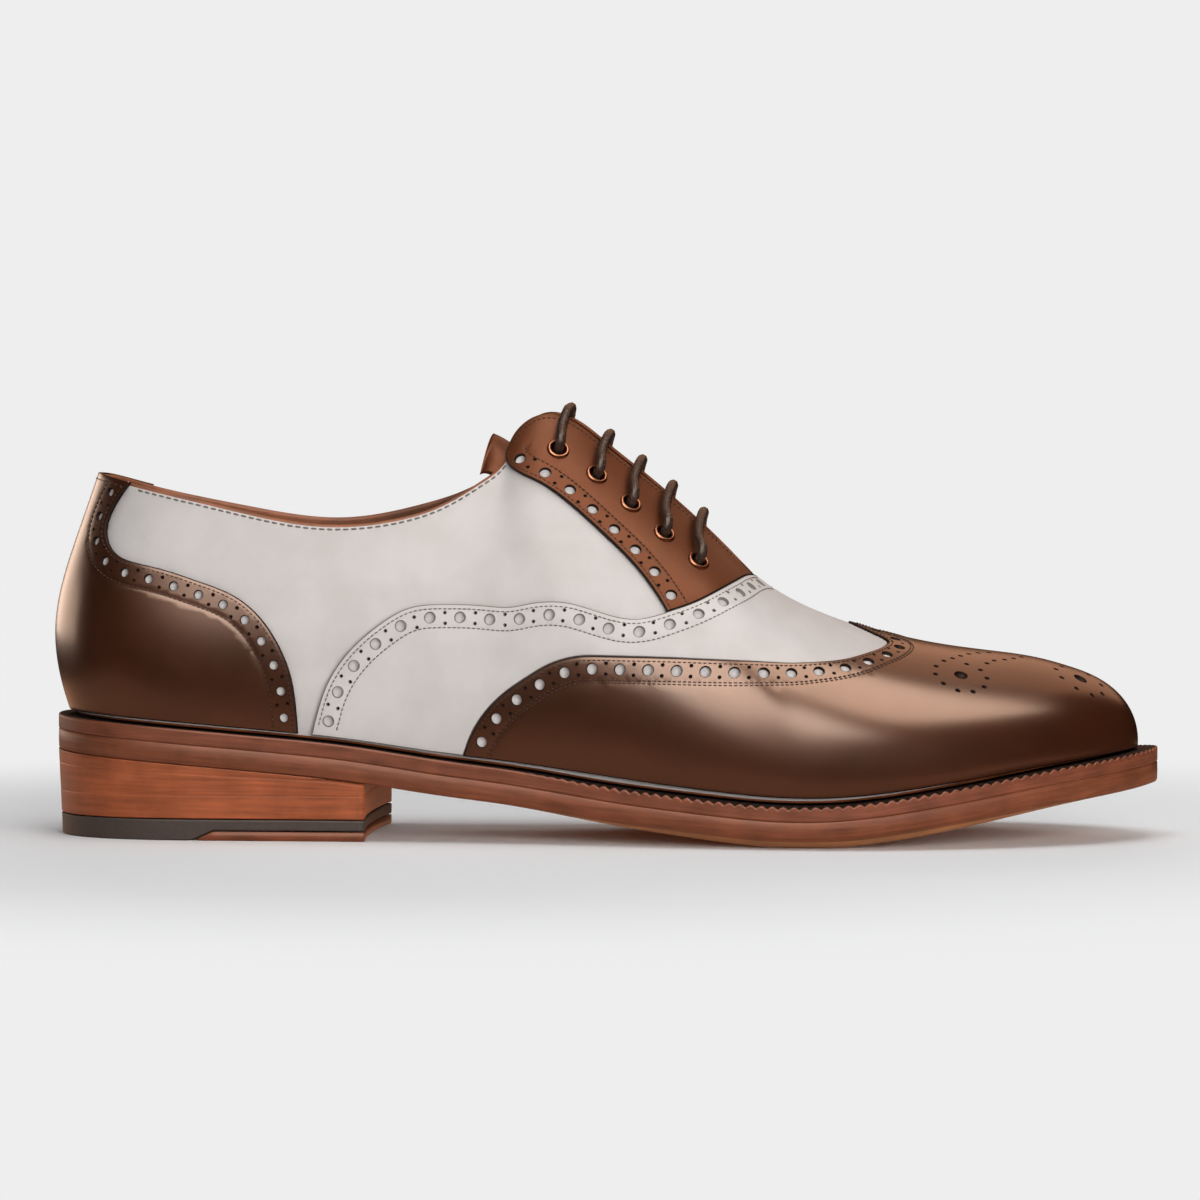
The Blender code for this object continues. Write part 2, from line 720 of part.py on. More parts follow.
def build_bottom(collection, materials):
    """Outsole, welt and insole, each following the sole's edge line.

    The outsole rises inside the welt to carry the insole.
    """
    stations = sole_loop()
    none = np.zeros(len(stations))
    ledge = pick("shape", stations)[:, 0]
    welt_inset = ledge + WALL + WELT_UNDERLAP
    insole_inset = ledge + WALL + 2 * GAP

    def tread(x, depth):
        line = LINE_SPLINE(x)
        near = (1 - np.minimum(depth / EDGE_ROUND, 1)) ** 2
        crown = np.clip(line[:, 1], 0, 1)
        return tread_height(x) * (1 - near) + (line[:, 0] + EDGE_RISE * crown) * near

    def shelf(x, depth):
        return sole_line(x) + OUTSOLE_THICKNESS

    def platform(x, depth):
        return welt_top(x)

    def insole_low(x, depth):
        return welt_top(x) + GAP

    def insole_high(x, depth):
        return welt_top(x) + GAP + INSOLE_THICKNESS

    inside = welt_inset + GAP
    low = [(none, share, tread) for share in TREAD_SHARES]
    middle = [(inside, share) for share in PLATFORM_SHARES]
    high = [(none, 0, shelf), (inside, 0, shelf)] + [(*ring, platform) for ring in middle]
    build_plate("outsole", low, high, collection, materials["sole"])
    rings = [(insole_inset, 0)] + middle
    low = [(*ring, insole_low) for ring in rings]
    high = [(*ring, insole_high) for ring in rings]
    build_plate("insole", low, high, collection, materials["insole"])
    heights = (lambda x: shelf(x, 0) + GAP, welt_top)
    build_ring("welt", none, welt_inset, *heights, collection, materials["welt"])


def station_at(distance):
    """The outer station whose sole edge is this far from the heel's back."""
    low, high = 0.0, float(TOE)
    for _ in range(50):
        middle = 0.5 * (low + high)
        if pick("sole", middle)[0] + HEEL_CENTRE < distance:
            low = middle
        else:
            high = middle
    return 0.5 * (low + high)


def build_heel_layer(name, stations, low, high, collection, material):
    """A layer of the heel between two heights, each a function of x. Its front face is hollow."""
    points = []
    for height in (low, high):
        outer, out_outer = sole_edge(stations)
        inner, out_inner = sole_edge(np.mod(LOOP - stations, LOOP))
        levels = height(outer[:, 0])
        taper = HEEL_TAPER * (1 - levels / SEAT_RISE)
        outer = outer - out_outer * taper[:, None]
        inner = inner - out_inner * taper[:, None]
        middle = 0.5 * (outer + inner)
        middle[-1, 0] -= HEEL_BREAST_HOLLOW
        for plan in (outer, middle, inner):
            points.append(np.column_stack([plan, levels]))
    count = len(stations)
    faces = []
    for k in range(count - 1):
        for column in (0, 1):
            a = column * count + k
            b = a + count
            faces.append((a, b, b + 1, a + 1))
            a += 3 * count
            b += 3 * count
            faces.append((a, a + 1, b + 1, b))
        faces.append((k, k + 1, 3 * count + k + 1, 3 * count + k))
        faces.append((2 * count + k, 5 * count + k, 5 * count + k + 1, 2 * count + k + 1))
    for column in (0, 1):
        a = column * count + count - 1
        b = a + count
        faces.append((a, b, b + 3 * count, a + 3 * count))
    if levels_apart(low, high, pick("sole", stations[0])[0]) and stations[0] > 0:
        for column in (0, 1):
            a = column * count
            b = a + count
            faces.append((a, a + 3 * count, b + 3 * count, b))
    return link_mesh(name, np.concatenate(points), faces, collection, material)


def levels_apart(low, high, x):
    here = np.array([x])
    return float(high(here)[0] - low(here)[0]) > 0.01 * MM


STATION_CLEARANCE = 0.1
TIP_SETBACK = 0.3


def build_heel(collection, materials):
    """The stacked lifts, the rubber top piece and the leather strip along the heel's front."""
    breast = station_at(HEEL_BREAST)
    back = np.concatenate([np.linspace(0, 2, 7)[:-1], np.linspace(2, breast, 6)])
    slant_start = station_at(TIP_START)
    slant_end = station_at(TIP_START + TIP_SLANT)
    behind = back[back < slant_start - STATION_CLEARANCE]
    ahead = back[back > slant_end + STATION_CLEARANCE]
    stepped = np.concatenate([behind, [slant_start, slant_end], ahead])

    def seat(x):
        return sole_line(x) - GAP

    def stack_low(x):
        return np.full(len(x), TOP_PIECE_THICKNESS + GAP)

    def rubber_top(x):
        return np.full(len(x), TOP_PIECE_THICKNESS)

    def rubber_low(x):
        share = np.clip((x + HEEL_CENTRE - TIP_START) / TIP_SLANT, 0, 1)
        return share * (TIP_THICKNESS + GAP)

    def tip_top(x):
        share = np.clip((x + HEEL_CENTRE - TIP_START) / TIP_SLANT, 0, 1)
        return np.maximum(share * (TIP_THICKNESS + GAP) - GAP, 0)

    def floor(x):
        return np.zeros(len(x))

    build_heel_layer("heel_stack", back, stack_low, seat, collection, materials["stack"])
    build_heel_layer("heel_rubber", stepped, rubber_low, rubber_top, collection, materials["rubber"])
    start = station_at(TIP_START + TIP_SETBACK * TIP_SLANT)
    front = np.concatenate([[start, slant_end], ahead])
    build_heel_layer("heel_tip", front, floor, tip_top, collection, materials["sole"])


TONGUE_SECTIONS = (
    # x, height, half_width, arch, as shares of SOLE_LENGTH, TOP_HEIGHT and BALL_WIDTH, from root to top
    (0.680, 0.480, 0.175, 0.090),
    (0.634, 0.568, 0.180, 0.105),
    (0.588, 0.660, 0.185, 0.115),
    (0.538, 0.745, 0.190, 0.120),
    (0.488, 0.815, 0.172, 0.118),
    (0.442, 0.884, 0.150, 0.108),
    (0.400, 0.958, 0.126, 0.090),
)


TONGUE_ROWS = 12
TONGUE_COLUMNS = 9
TONGUE_SWEEP = 80


def build_tongue(collection, material):
    """The tongue: arched sections set square to its middle line, thickened inwards."""
    rows = np.array(TONGUE_SECTIONS)
    rows = rows * (SOLE_LENGTH, TOP_HEIGHT, BALL_WIDTH, BALL_WIDTH)
    rows[:, 0] -= HEEL_CENTRE
    run = np.concatenate([[0], np.cumsum(np.hypot(*np.diff(rows[:, :2], axis=0).T))])
    dense = spline(run, rows)(np.linspace(0, run[-1], TONGUE_ROWS))
    tangent = np.gradient(dense[:, :2], axis=0)
    tangent /= np.linalg.norm(tangent, axis=1, keepdims=True)
    normal = np.stack([tangent[:, 1], -tangent[:, 0]], 1)
    angles = np.radians(np.linspace(-TONGUE_SWEEP, TONGUE_SWEEP, TONGUE_COLUMNS))
    points = []
    for (x, z, width, arch), (nx, nz) in zip(dense, normal):
        for angle in angles:
            drop = arch * (1 - math.cos(angle))
            points.append((x - nx * drop, width * math.sin(angle), z - nz * drop))
    count = len(angles)
    faces = []
    for i in range(len(dense) - 1):
        for k in range(count - 1):
            a = i * count + k
            faces.append((a, a + 1, a + count + 1, a + count))
    tongue = link_mesh("tongue", points, faces, collection, material)
    thicken(tongue, TONGUE_THICKNESS, False)
    return tongue


def eyelet_places():
    """Name, side, middle on the base surface and outward direction of each eyelet."""
    places = []
    for i, (station, girth) in enumerate(EYELETS):
        for side, where in (("outer", station), ("inner", LOOP - station)):
            middle = last_form(where, girth)
            out = last_normal(where, girth)
            places.append((f"{side}_{i + 1}", Vector(middle.tolist()), Vector(out.tolist())))
    return places


EYELET_SIDES = 8
EYELET_BEVEL = 0.3 * MM
EYELET_MOUTH = 0.1 * MM
CUTTER_DEPTH = 12 * MM


def build_eyelets(collection, cutters, material, pierced):
    """Eyelets turned on their axes, and the holes that let them through the facing and the upper."""
    top = OVERLAY_GAP + OVERLAY_THICKNESS + GAP
    inner = EYELET_BARREL_RADIUS - EYELET_WALL
    profile = [
        (inner, -WALL - GAP),
        (EYELET_BARREL_RADIUS, -WALL - GAP),
        (EYELET_BARREL_RADIUS, top),
        (EYELET_FLANGE_RADIUS, top),
        (EYELET_FLANGE_RADIUS - EYELET_BEVEL, top + EYELET_FLANGE_THICKNESS),
        (inner + EYELET_MOUTH, top + EYELET_FLANGE_THICKNESS),
    ]
    for name, middle, out in eyelet_places():
        points = [(r, 0, z) for r, z in profile]
        mesh = bpy.data.meshes.new(f"eyelet_{name}")
        edges = [(i, (i + 1) % len(points)) for i in range(len(points))]
        mesh.from_pydata(points, edges, [])
        mesh.materials.append(material)
        ring = bpy.data.objects.new(f"eyelet_{name}", mesh)
        collection.objects.link(ring)
        turn = out.to_track_quat("Z", "Y")
        ring.rotation_euler = turn.to_euler()
        ring.location = middle
        screw = ring.modifiers.new("turned", "SCREW")
        screw.steps = EYELET_SIDES
        screw.render_steps = EYELET_SIDES
        screw.use_merge_vertices = True
        screw.merge_threshold = 0.00001
        screw.use_normal_calculate = True
        screw.use_normal_flip = True

        built = bmesh.new()
        radius = EYELET_BARREL_RADIUS + GAP
        bmesh.ops.create_cone(
            built, cap_ends=True, segments=EYELET_SIDES, radius1=radius, radius2=radius, depth=CUTTER_DEPTH
        )
        hole_mesh = bpy.data.meshes.new(f"hole_{name}")
        built.to_mesh(hole_mesh)
        built.free()
        hole = bpy.data.objects.new(f"hole_{name}", hole_mesh)
        cutters.objects.link(hole)
        hole.location = middle
        hole.rotation_euler = turn.to_euler()
        hole.hide_render = True
        hole.display_type = "WIRE"
        side = name.split("_")[0]
        for piece in (pierced["upper"], pierced[side]):
            cut = piece.modifiers.new(f"cut_{name}", "BOOLEAN")
            cut.operation = "DIFFERENCE"
            cut.solver = "EXACT"
            cut.object = hole


LACE_PATH = (
    # run from the eyelet towards the slit, lift above the base surface
    (0.00 * MM, 1.2 * MM),
    (0.00 * MM, 2.3 * MM),
    (0.20 * MM, 3.5 * MM),
    (0.90 * MM, 4.4 * MM),
    (2.50 * MM, 4.7 * MM),
    (5.20 * MM, 4.2 * MM),
)
LACE_OVER_EDGE = 3.9 * MM
LACE_CROWN = 0.2 * MM
LACE_STEPS = 15
NEAR_EDGE = 0.995


def lace_points(station, girth):
    """The middle line of a bar of lace, from its outer eyelet over the slit to its inner one."""
    sides = []
    for where in (station, LOOP - station):
        edge = last_form(where, 1.0)
        middle = last_form(where, girth)
        length = float(np.linalg.norm(edge - middle))
        half = []
        for run, lift in LACE_PATH:
            out = last_normal(where, girth)
            here = min(girth + (1 - girth) * run / length, 1)
            half.append(last_form(where, here) + out * lift)
        half.append(edge + last_normal(where, NEAR_EDGE) * LACE_OVER_EDGE)
        sides.append(half)
    outer, inner = sides
    crown = 0.5 * (outer[-1] + inner[-1])
    crown[2] += LACE_CROWN
    rows = np.array(outer + [crown] + inner[::-1])
    run = np.concatenate([[0], np.cumsum(np.linalg.norm(np.diff(rows, axis=0), axis=1))])
    return spline(run, rows)(np.linspace(0, run[-1], LACE_STEPS))


def build_laces(collection, material):
    for i, (station, girth) in enumerate(EYELETS):
        name = f"lace_bar_{i + 1}"
        curve = bpy.data.curves.new(name, "CURVE")
        curve.dimensions = "3D"
        curve.bevel_depth = LACE_DIAMETER / 2
        curve.bevel_resolution = 1
        curve.use_fill_caps = True
        path = lace_points(station, girth)
        line = curve.splines.new("POLY")
        line.points.add(len(path) - 1)
        for point, place in zip(line.points, path):
            point.co = (*place, 1)
        curve.materials.append(material)
        bar = bpy.data.objects.new(name, curve)
        collection.objects.link(bar)


def main():
    clear_scene()
    shoe = new_collection("spectator_shoe")
    cutters = new_collection("cutters")
    white = finish_material("white_calf", (0.72, 0.69, 0.66), 0.45)
    brown = finish_material("brown_calf", (0.16, 0.055, 0.028), 0.32)
    metal = finish_material("eyelet_metal", (0.45, 0.23, 0.14), 0.35, 0.9)
    lace = finish_material("waxed_lace", (0.07, 0.05, 0.04), 0.55)
    bottoms = {
        "sole": finish_material("sole_leather", (0.29, 0.10, 0.045), 0.45),
        "welt": finish_material("welt_leather", (0.16, 0.06, 0.035), 0.5),
        "stack": finish_material("heel_leather", (0.29, 0.10, 0.045), 0.45),
        "rubber": finish_material("heel_rubber", (0.07, 0.055, 0.05), 0.7),
        "insole": finish_material("insole_leather", (0.42, 0.22, 0.11), 0.6),
    }
    upper = build_upper(shoe, white)
    build_overlays(shoe, brown, white)
    build_tongue(shoe, brown)
    pierced = {
        "upper": upper,
        "outer": bpy.data.objects["facing_outer"],
        "inner": bpy.data.objects["facing_inner"],
    }
    build_eyelets(shoe, cutters, metal, pierced)
    build_laces(shoe, lace)
    build_bottom(shoe, bottoms)
    build_heel(shoe, bottoms)


main()
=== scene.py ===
"""Looks of a right men's spectator shoe: its leathers, holes, stitches, sole edge, lace and stage.

Millimetres are written with MM. +X runs to the toe, +Y to the inner side of the foot, +Z up.
A place is a (station, girth) pair on the last: a station counts the sections round the shoe, from 0 at
the back seam to TOE at the tip and on along the inner side, and a girth runs from 0 at the welt to 1 at
the top line or the ridge.
"""

import bmesh
import bpy
import numpy as np
from bpy.props import FloatProperty, FloatVectorProperty, IntProperty, PointerProperty
from mathutils import Matrix, Vector, geometry


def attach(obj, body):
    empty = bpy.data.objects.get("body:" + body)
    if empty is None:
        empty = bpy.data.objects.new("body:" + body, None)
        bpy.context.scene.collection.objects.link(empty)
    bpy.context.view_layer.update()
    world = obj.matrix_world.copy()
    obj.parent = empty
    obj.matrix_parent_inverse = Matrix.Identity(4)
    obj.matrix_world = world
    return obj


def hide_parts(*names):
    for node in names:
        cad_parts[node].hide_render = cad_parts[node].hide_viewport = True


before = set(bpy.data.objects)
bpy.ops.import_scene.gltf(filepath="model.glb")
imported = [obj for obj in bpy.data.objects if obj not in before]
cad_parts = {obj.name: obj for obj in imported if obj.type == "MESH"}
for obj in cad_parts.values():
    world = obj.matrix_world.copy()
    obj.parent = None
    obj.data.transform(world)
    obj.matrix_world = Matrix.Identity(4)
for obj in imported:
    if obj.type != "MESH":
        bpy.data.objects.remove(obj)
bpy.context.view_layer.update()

bl_info = {
    "name": "Spectator Shoe",
    "version": (1, 0, 0),
    "blender": (4, 5, 0),
    "location": "View3D > Sidebar > Shoe",
    "description": "Builds the leathers, decoration, bottom and lace of a two-tone brogue shoe",
    "category": "Add Mesh",
}

MM = 0.001

# The last, from the same driving dimensions as the solids. Only TIP_START differs, by 3 mm
SOLE_LENGTH = 303 * MM
BALL_WIDTH = 101.5 * MM
TOP_HEIGHT = 115.5 * MM
SEAT_RISE = 23.4 * MM
TOE_SPRING = 15 * MM
HEEL_CENTRE = 44 * MM
OUTSOLE_THICKNESS = 5.8 * MM
TREAD_CROWN = 2.0 * MM
EDGE_RISE = 1.0 * MM
EDGE_ROUND = 12 * MM
WELT_THICKNESS = 3.6 * MM
WELT_UNDERLAP = 4.5 * MM
INSOLE_THICKNESS = 3.2 * MM
WALL = 2.0 * MM
OVERLAY_THICKNESS = 1.1 * MM
CAP_THICKNESS = 1.7 * MM
GAP = 0.3 * MM
OVERLAY_GAP = 0.4 * MM
FOOT_MARGIN = 0.022
HEEL_BREAST = 89 * MM
HEEL_BREAST_HOLLOW = 1.5 * MM
HEEL_TAPER = 1.0 * MM
TOP_PIECE_THICKNESS = 5.7 * MM
TIP_THICKNESS = 2.5 * MM
TIP_START = 41.5 * MM
TIP_SLANT = 6 * MM
TONGUE_THICKNESS = 2.0 * MM
EYELET_BARREL_RADIUS = 2.3 * MM
EYELET_WALL = 0.3 * MM
EYELET_FLANGE_RADIUS = 3.15 * MM
EYELET_FLANGE_THICKNESS = 0.5 * MM

# Working measures of this script's own
SEAM_GAP = 0.4 * GAP
LINE_SPACING = 1.1 * MM
OUTLINE_SPACING = 1.5 * MM
CUT_EDGE = 0.35 * MM
HOLE_RIM = 0.18 * MM
HOLE_STEPS = 18
STAGE_MIDDLE = 106 * MM

# Distances of the seams from each leather's own cut edge
EDGE_SEAM = 1.1 * MM
WING_GROOVE = 6.6 * MM
WING_SEAMS = (EDGE_SEAM, 6.25 * MM, 7.0 * MM)
VAMP_SEAMS = (1.3 * MM, 6.4 * MM)
COUNTER_SEAM = 6.6 * MM
FACING_SEAM = 5.9 * MM
FACING_SEAM_REACH = (0.3, 0.97)
VAMP_SEAM_REACH = (0.05, 0.97)

TOE = 15
LOOP = 2 * TOE

SECTIONS = (
    # sole_x, sole_outer, sole_inner, ledge, lean_outer, lean_inner, foot_pull, top_slope, top_pull, fall
    (0.001, 0.000, 0.000, 0.050, 20, 20, 0.41, 71, 0.50, 0.00),
    (0.021, -0.197, 0.197, 0.048, 18, 18, 0.41, 73, 0.47, 0.00),
    (0.083, -0.310, 0.310, 0.044, 14, 15, 0.40, 76, 0.44, 0.00),
    (0.165, -0.333, 0.327, 0.042, 10, 13, 0.39, 79, 0.42, 0.00),
    (0.248, -0.337, 0.315, 0.043, 8, 14, 0.38, 80, 0.40, 0.00),
    (0.330, -0.345, 0.299, 0.045, 8, 20, 0.38, 76, 0.40, 0.00),
    (0.409, -0.367, 0.292, 0.051, 9, 24, 0.38, 66, 0.37, 0.00),
    (0.482, -0.404, 0.311, 0.060, 10, 22, 0.37, 46, 0.31, 0.00),
    (0.554, -0.453, 0.360, 0.068, 11, 16, 0.36, 34, 0.28, -0.30),
    (0.627, -0.496, 0.419, 0.073, 12, 13, 0.38, 20, 0.26, -0.55),
    (0.700, -0.512, 0.468, 0.075, 13, 12, 0.40, 4, 0.28, -0.55),
    (0.772, -0.491, 0.488, 0.075, 13, 12, 0.41, 0, 0.32, -0.34),
    (0.845, -0.426, 0.461, 0.075, 12, 11, 0.41, 0, 0.36, -0.20),
    (0.911, -0.325, 0.389, 0.075, 10, 10, 0.41, 0, 0.38, -0.16),
    (0.964, -0.187, 0.274, 0.074, 8, 8, 0.40, 0, 0.40, -0.22),
    (1.000, 0.049, 0.049, 0.074, 6, 6, 0.40, 0, 0.40, -0.30),
)
TOP_LINE = (
    # station, x, outer, inner, height, inner_rise, with a smoother collar than that of the solids
    (0.00, 0.043, 0.000, 0.000, 0.856, 0.000),
    (1.00, 0.051, -0.109, 0.109, 0.854, -0.005),
    (2.00, 0.090, -0.200, 0.200, 0.829, -0.012),
    (3.00, 0.165, -0.246, 0.246, 0.784, -0.009),
    (4.00, 0.248, -0.261, 0.266, 0.744, 0.004),
    (5.00, 0.325, -0.241, 0.251, 0.760, 0.022),
    (5.60, 0.364, -0.212, 0.222, 0.797, 0.018),
    (6.10, 0.394, -0.177, 0.182, 0.846, 0.010),
    (6.50, 0.411, -0.143, 0.148, 0.886, 0.010),
    (6.80, 0.420, -0.107, 0.111, 0.933, 0.006),
    (7.05, 0.430, -0.081, 0.082, 0.970, 0.004),
    (7.30, 0.447, -0.059, 0.059, 0.992, 0.004),
    (7.55, 0.467, -0.045, 0.045, 0.980, 0.005),
    (8.00, 0.498, -0.040, 0.040, 0.920, 0.006),
    (8.50, 0.535, -0.034, 0.034, 0.842, 0.006),
    (9.00, 0.573, -0.028, 0.028, 0.758, 0.004),
    (9.50, 0.609, -0.018, 0.018, 0.669, 0.003),
    (9.80, 0.631, 0.000, 0.000, 0.615, 0.000),
    (10.20, 0.659, 0.000, 0.000, 0.562, 0.000),
    (11.00, 0.715, 0.008, 0.008, 0.496, 0.000),
    (12.00, 0.784, 0.018, 0.018, 0.446, 0.000),
    (13.00, 0.846, 0.028, 0.028, 0.422, 0.000),
    (14.00, 0.891, 0.037, 0.037, 0.404, 0.000),
    (15.00, 0.922, 0.044, 0.044, 0.381, 0.000),
)
THROAT_STATION = 9.8
RIDGE_END = 14.85

WING_LINE = (
    # station, girth, from the foot to the peak on the ridge
    (5.62, 0.000),
    (5.75, 0.100),
    (5.93, 0.175),
    (6.28, 0.250),
    (6.74, 0.290),
    (7.41, 0.303),
    (8.06, 0.330),
    (8.80, 0.367),
    (9.43, 0.412),
    (10.34, 0.505),
    (10.75, 0.565),
    (11.04, 0.635),
    (11.30, 0.722),
    (11.41, 0.800),
    (11.28, 0.880),
    (11.06, 1.000),
)
VAMP_LINE = (
    # station, girth, from the foot to the throat
    (3.95, 0.000),
    (4.03, 0.120),
    (4.12, 0.235),
    (4.40, 0.430),
    (4.75, 0.560),
    (5.10, 0.622),
    (5.55, 0.608),
    (6.32, 0.517),
    (7.00, 0.452),
    (7.67, 0.418),
    (8.20, 0.435),
    (8.55, 0.478),
    (9.00, 0.560),
    (9.38, 0.675),
    (9.65, 0.815),
    (9.86, 1.000),
)
COUNTER_LINE = (
    # station, girth, from the foot to the collar
    (3.82, 0.000),
    (3.79, 0.175),
    (3.74, 0.290),
    (3.63, 0.410),
    (3.44, 0.535),
    (3.18, 0.622),
    (2.76, 0.670),
    (2.31, 0.698),
    (2.00, 0.707),
    (1.74, 0.725),
    (1.54, 0.768),
    (1.45, 0.815),
    (1.46, 0.870),
    (1.56, 0.925),
    (1.78, 1.000),
)
FACING_LINE = (
    # station, girth, from the collar down to the vamp
    (6.62, 1.000),
    (6.70, 0.955),
    (6.95, 0.855),
    (7.25, 0.765),
    (7.69, 0.685),
    (8.10, 0.630),
    (8.34, 0.577),
    (8.47, 0.528),
    (8.56, 0.478),
)
EYELETS = (
    # station, girth
    (7.50, 0.865),
    (7.98, 0.845),
    (8.38, 0.808),
    (8.74, 0.760),
    (9.11, 0.725),
)
SOLE_LINE = (
    # x, seat, spring, crown
    (0.000, 1.000, 0.00, 0.0),
    (0.099, 0.906, 0.00, 0.0),
    (0.198, 0.800, 0.00, 0.0),
    (0.277, 0.700, 0.00, 0.0),
    (0.360, 0.545, 0.00, 0.1),
    (0.426, 0.440, 0.00, 0.3),
    (0.508, 0.280, 0.00, 0.6),
    (0.597, 0.150, 0.00, 0.9),
    (0.650, 0.090, 0.00, 1.0),
    (0.690, 0.077, 0.00, 1.0),
    (0.730, 0.077, 0.04, 1.0),
    (0.790, 0.060, 0.23, 1.0),
    (0.845, 0.040, 0.45, 0.8),
    (0.910, 0.020, 0.71, 0.5),
    (0.960, 0.000, 0.88, 0.2),
    (1.000, 0.000, 1.00, 0.0),
)


def spline(knots, values):
    """A natural cubic spline through rows of values, as a function of the knot."""
    knots = np.asarray(knots, float)
    values = np.asarray(values, float)
    count = len(knots)
    steps = np.diff(knots)
    matrix = np.eye(count)
    bends = np.zeros_like(values)
    for i in range(1, count - 1):
        matrix[i, i - 1 : i + 2] = steps[i - 1], 2 * (steps[i - 1] + steps[i]), steps[i]
        rise = (values[i + 1] - values[i]) / steps[i] - (values[i] - values[i - 1]) / steps[i - 1]
        bends[i] = 6 * rise
    bends = np.linalg.solve(matrix, bends)

    def at(where):
        where = np.asarray(where, float)
        i = np.clip(np.searchsorted(knots, where) - 1, 0, count - 2)
        h = steps[i]
        a = (knots[i + 1] - where) / h
        b = 1 - a
        if values.ndim > 1:
            a, b, h = a[..., None], b[..., None], h[..., None]
        bend = (a**3 - a) * bends[i] + (b**3 - b) * bends[i + 1]
        return a * values[i] + b * values[i + 1] + bend * h * h / 6

    return at


def round_both_ends(stations, outer, inner):
    """Rows of the outer side, carried on round the back seam and the toe by the inner side's rows."""
    reach = 3
    knots = [-s for s in stations[reach:0:-1]] + list(stations)
    knots += [LOOP - s for s in stations[-2 : -2 - reach : -1]]
    rows = list(inner[reach:0:-1]) + list(outer) + list(inner[-2 : -2 - reach : -1])
    return spline(knots, rows)


def run_lengths(points):
    """The distance along a line of points at each of them, from 0 at the first."""
    return np.concatenate([[0], np.cumsum(np.linalg.norm(np.diff(points, axis=0), axis=1))])


def build_form():
    """The splines that every piece of the shoe is worked out from, outer side first."""
    sole = [[], []]
    shape = [[], []]
    top = [[], []]
    for side in (0, 1):
        for row in SECTIONS:
            sole[side].append((row[0] * SOLE_LENGTH - HEEL_CENTRE, row[1 + side] * BALL_WIDTH))
            shape[side].append((row[3] * BALL_WIDTH, row[4 + side], *row[6:]))
        for row in TOP_LINE:
            place = (row[1] * SOLE_LENGTH - HEEL_CENTRE, row[2 + side] * BALL_WIDTH)
            top[side].append((*place, (row[4] + side * row[5]) * TOP_HEIGHT))
    stations = list(range(TOE + 1))
    top_stations = [row[0] for row in TOP_LINE]
    tables = {"sole": (stations, sole), "shape": (stations, shape), "top": (top_stations, top)}
    form = {}
    for name, (knots, (outer, inner)) in tables.items():
        form[name] = round_both_ends(knots, outer, inner), round_both_ends(knots, inner, outer)
    return form


FORM = build_form()
LINE_TABLE = np.array(SOLE_LINE)
LINE_SPLINE = spline(
    LINE_TABLE[:, 0] * SOLE_LENGTH - HEEL_CENTRE,
    np.stack([LINE_TABLE[:, 1] * SEAT_RISE + LINE_TABLE[:, 2] * TOE_SPRING, LINE_TABLE[:, 3]], -1),
)


def sole_line(x):
    """Height of the outsole's lower edge line."""
    return LINE_SPLINE(x)[..., 0]


def tread_height(x):
    """Height of the outsole's underside along its middle, flat on the floor under the ball."""
    line = LINE_SPLINE(x)
    return np.maximum(line[..., 0] - TREAD_CROWN * np.clip(line[..., 1], 0, 1), 0)


def welt_top(x):
    """Height of the welt's upper face."""
    return sole_line(x) + OUTSOLE_THICKNESS + GAP + WELT_THICKNESS


def pick(which, station):
    """The named spline at these stations, each on its own side."""
    station = np.mod(np.asarray(station, float), LOOP)
    inner = station > TOE
    local = np.where(inner, LOOP - station, station)
    return np.where(inner[..., None], FORM[which][1](local), FORM[which][0](local))


def sole_edge(station):
    """The sole's outline in plan and its outward direction."""
    step = 0.01
    run = pick("sole", np.asarray(station) + step) - pick("sole", np.asarray(station) - step)
    out = np.stack([run[..., 1], -run[..., 0]], -1)
    return pick("sole", station), out / np.linalg.norm(out, axis=-1, keepdims=True)


def foot_line(station):
    """Where the upper meets the welt, and the outward direction there."""
    edge, out = sole_edge(station)
    plan = edge - out * pick("shape", station)[..., 0:1]
    height = welt_top(plan[..., 0]) + GAP
    return np.concatenate([plan, height[..., None]], -1), out


def last_form(station, girth):
    """A point of the upper's base surface, from the welt up to the top line or the ridge."""
    station, girth = np.broadcast_arrays(np.asarray(station, float), np.asarray(girth, float))
    foot, out = foot_line(station)
    _, lean, foot_pull, slope, top_pull, fall = np.moveaxis(pick("shape", station), -1, 0)
    local = side_station(station)
    closed = local >= THROAT_STATION
    middle = 0.5 * (FORM["top"][0](local) + FORM["top"][1](local))
    top = np.where(closed[..., None], middle, pick("top", station))
    lean = np.radians(lean)
    slope = np.radians(np.maximum(slope, 0))
    chord = np.linalg.norm(top - foot, axis=-1)
    rise = foot_pull * chord
    reach = top_pull * chord
    low = foot.copy()
    low[..., :2] += out * (np.sin(lean) * rise)[..., None]
    low[..., 2] += np.cos(lean) * rise
    high = top.copy()
    high[..., :2] += out * (np.cos(slope) * reach)[..., None]
    high[..., 2] += (fall * out[..., 0] * np.cos(slope) - np.sin(slope)) * reach
    t = girth[..., None]
    u = 1 - t
    return u**3 * foot + 3 * u * u * t * low + 3 * u * t * t * high + t**3 * top


def side_station(station):
    """The station counted from the back seam on its own side."""
    station = np.mod(np.asarray(station, float), LOOP)
    return np.minimum(station, LOOP - station)


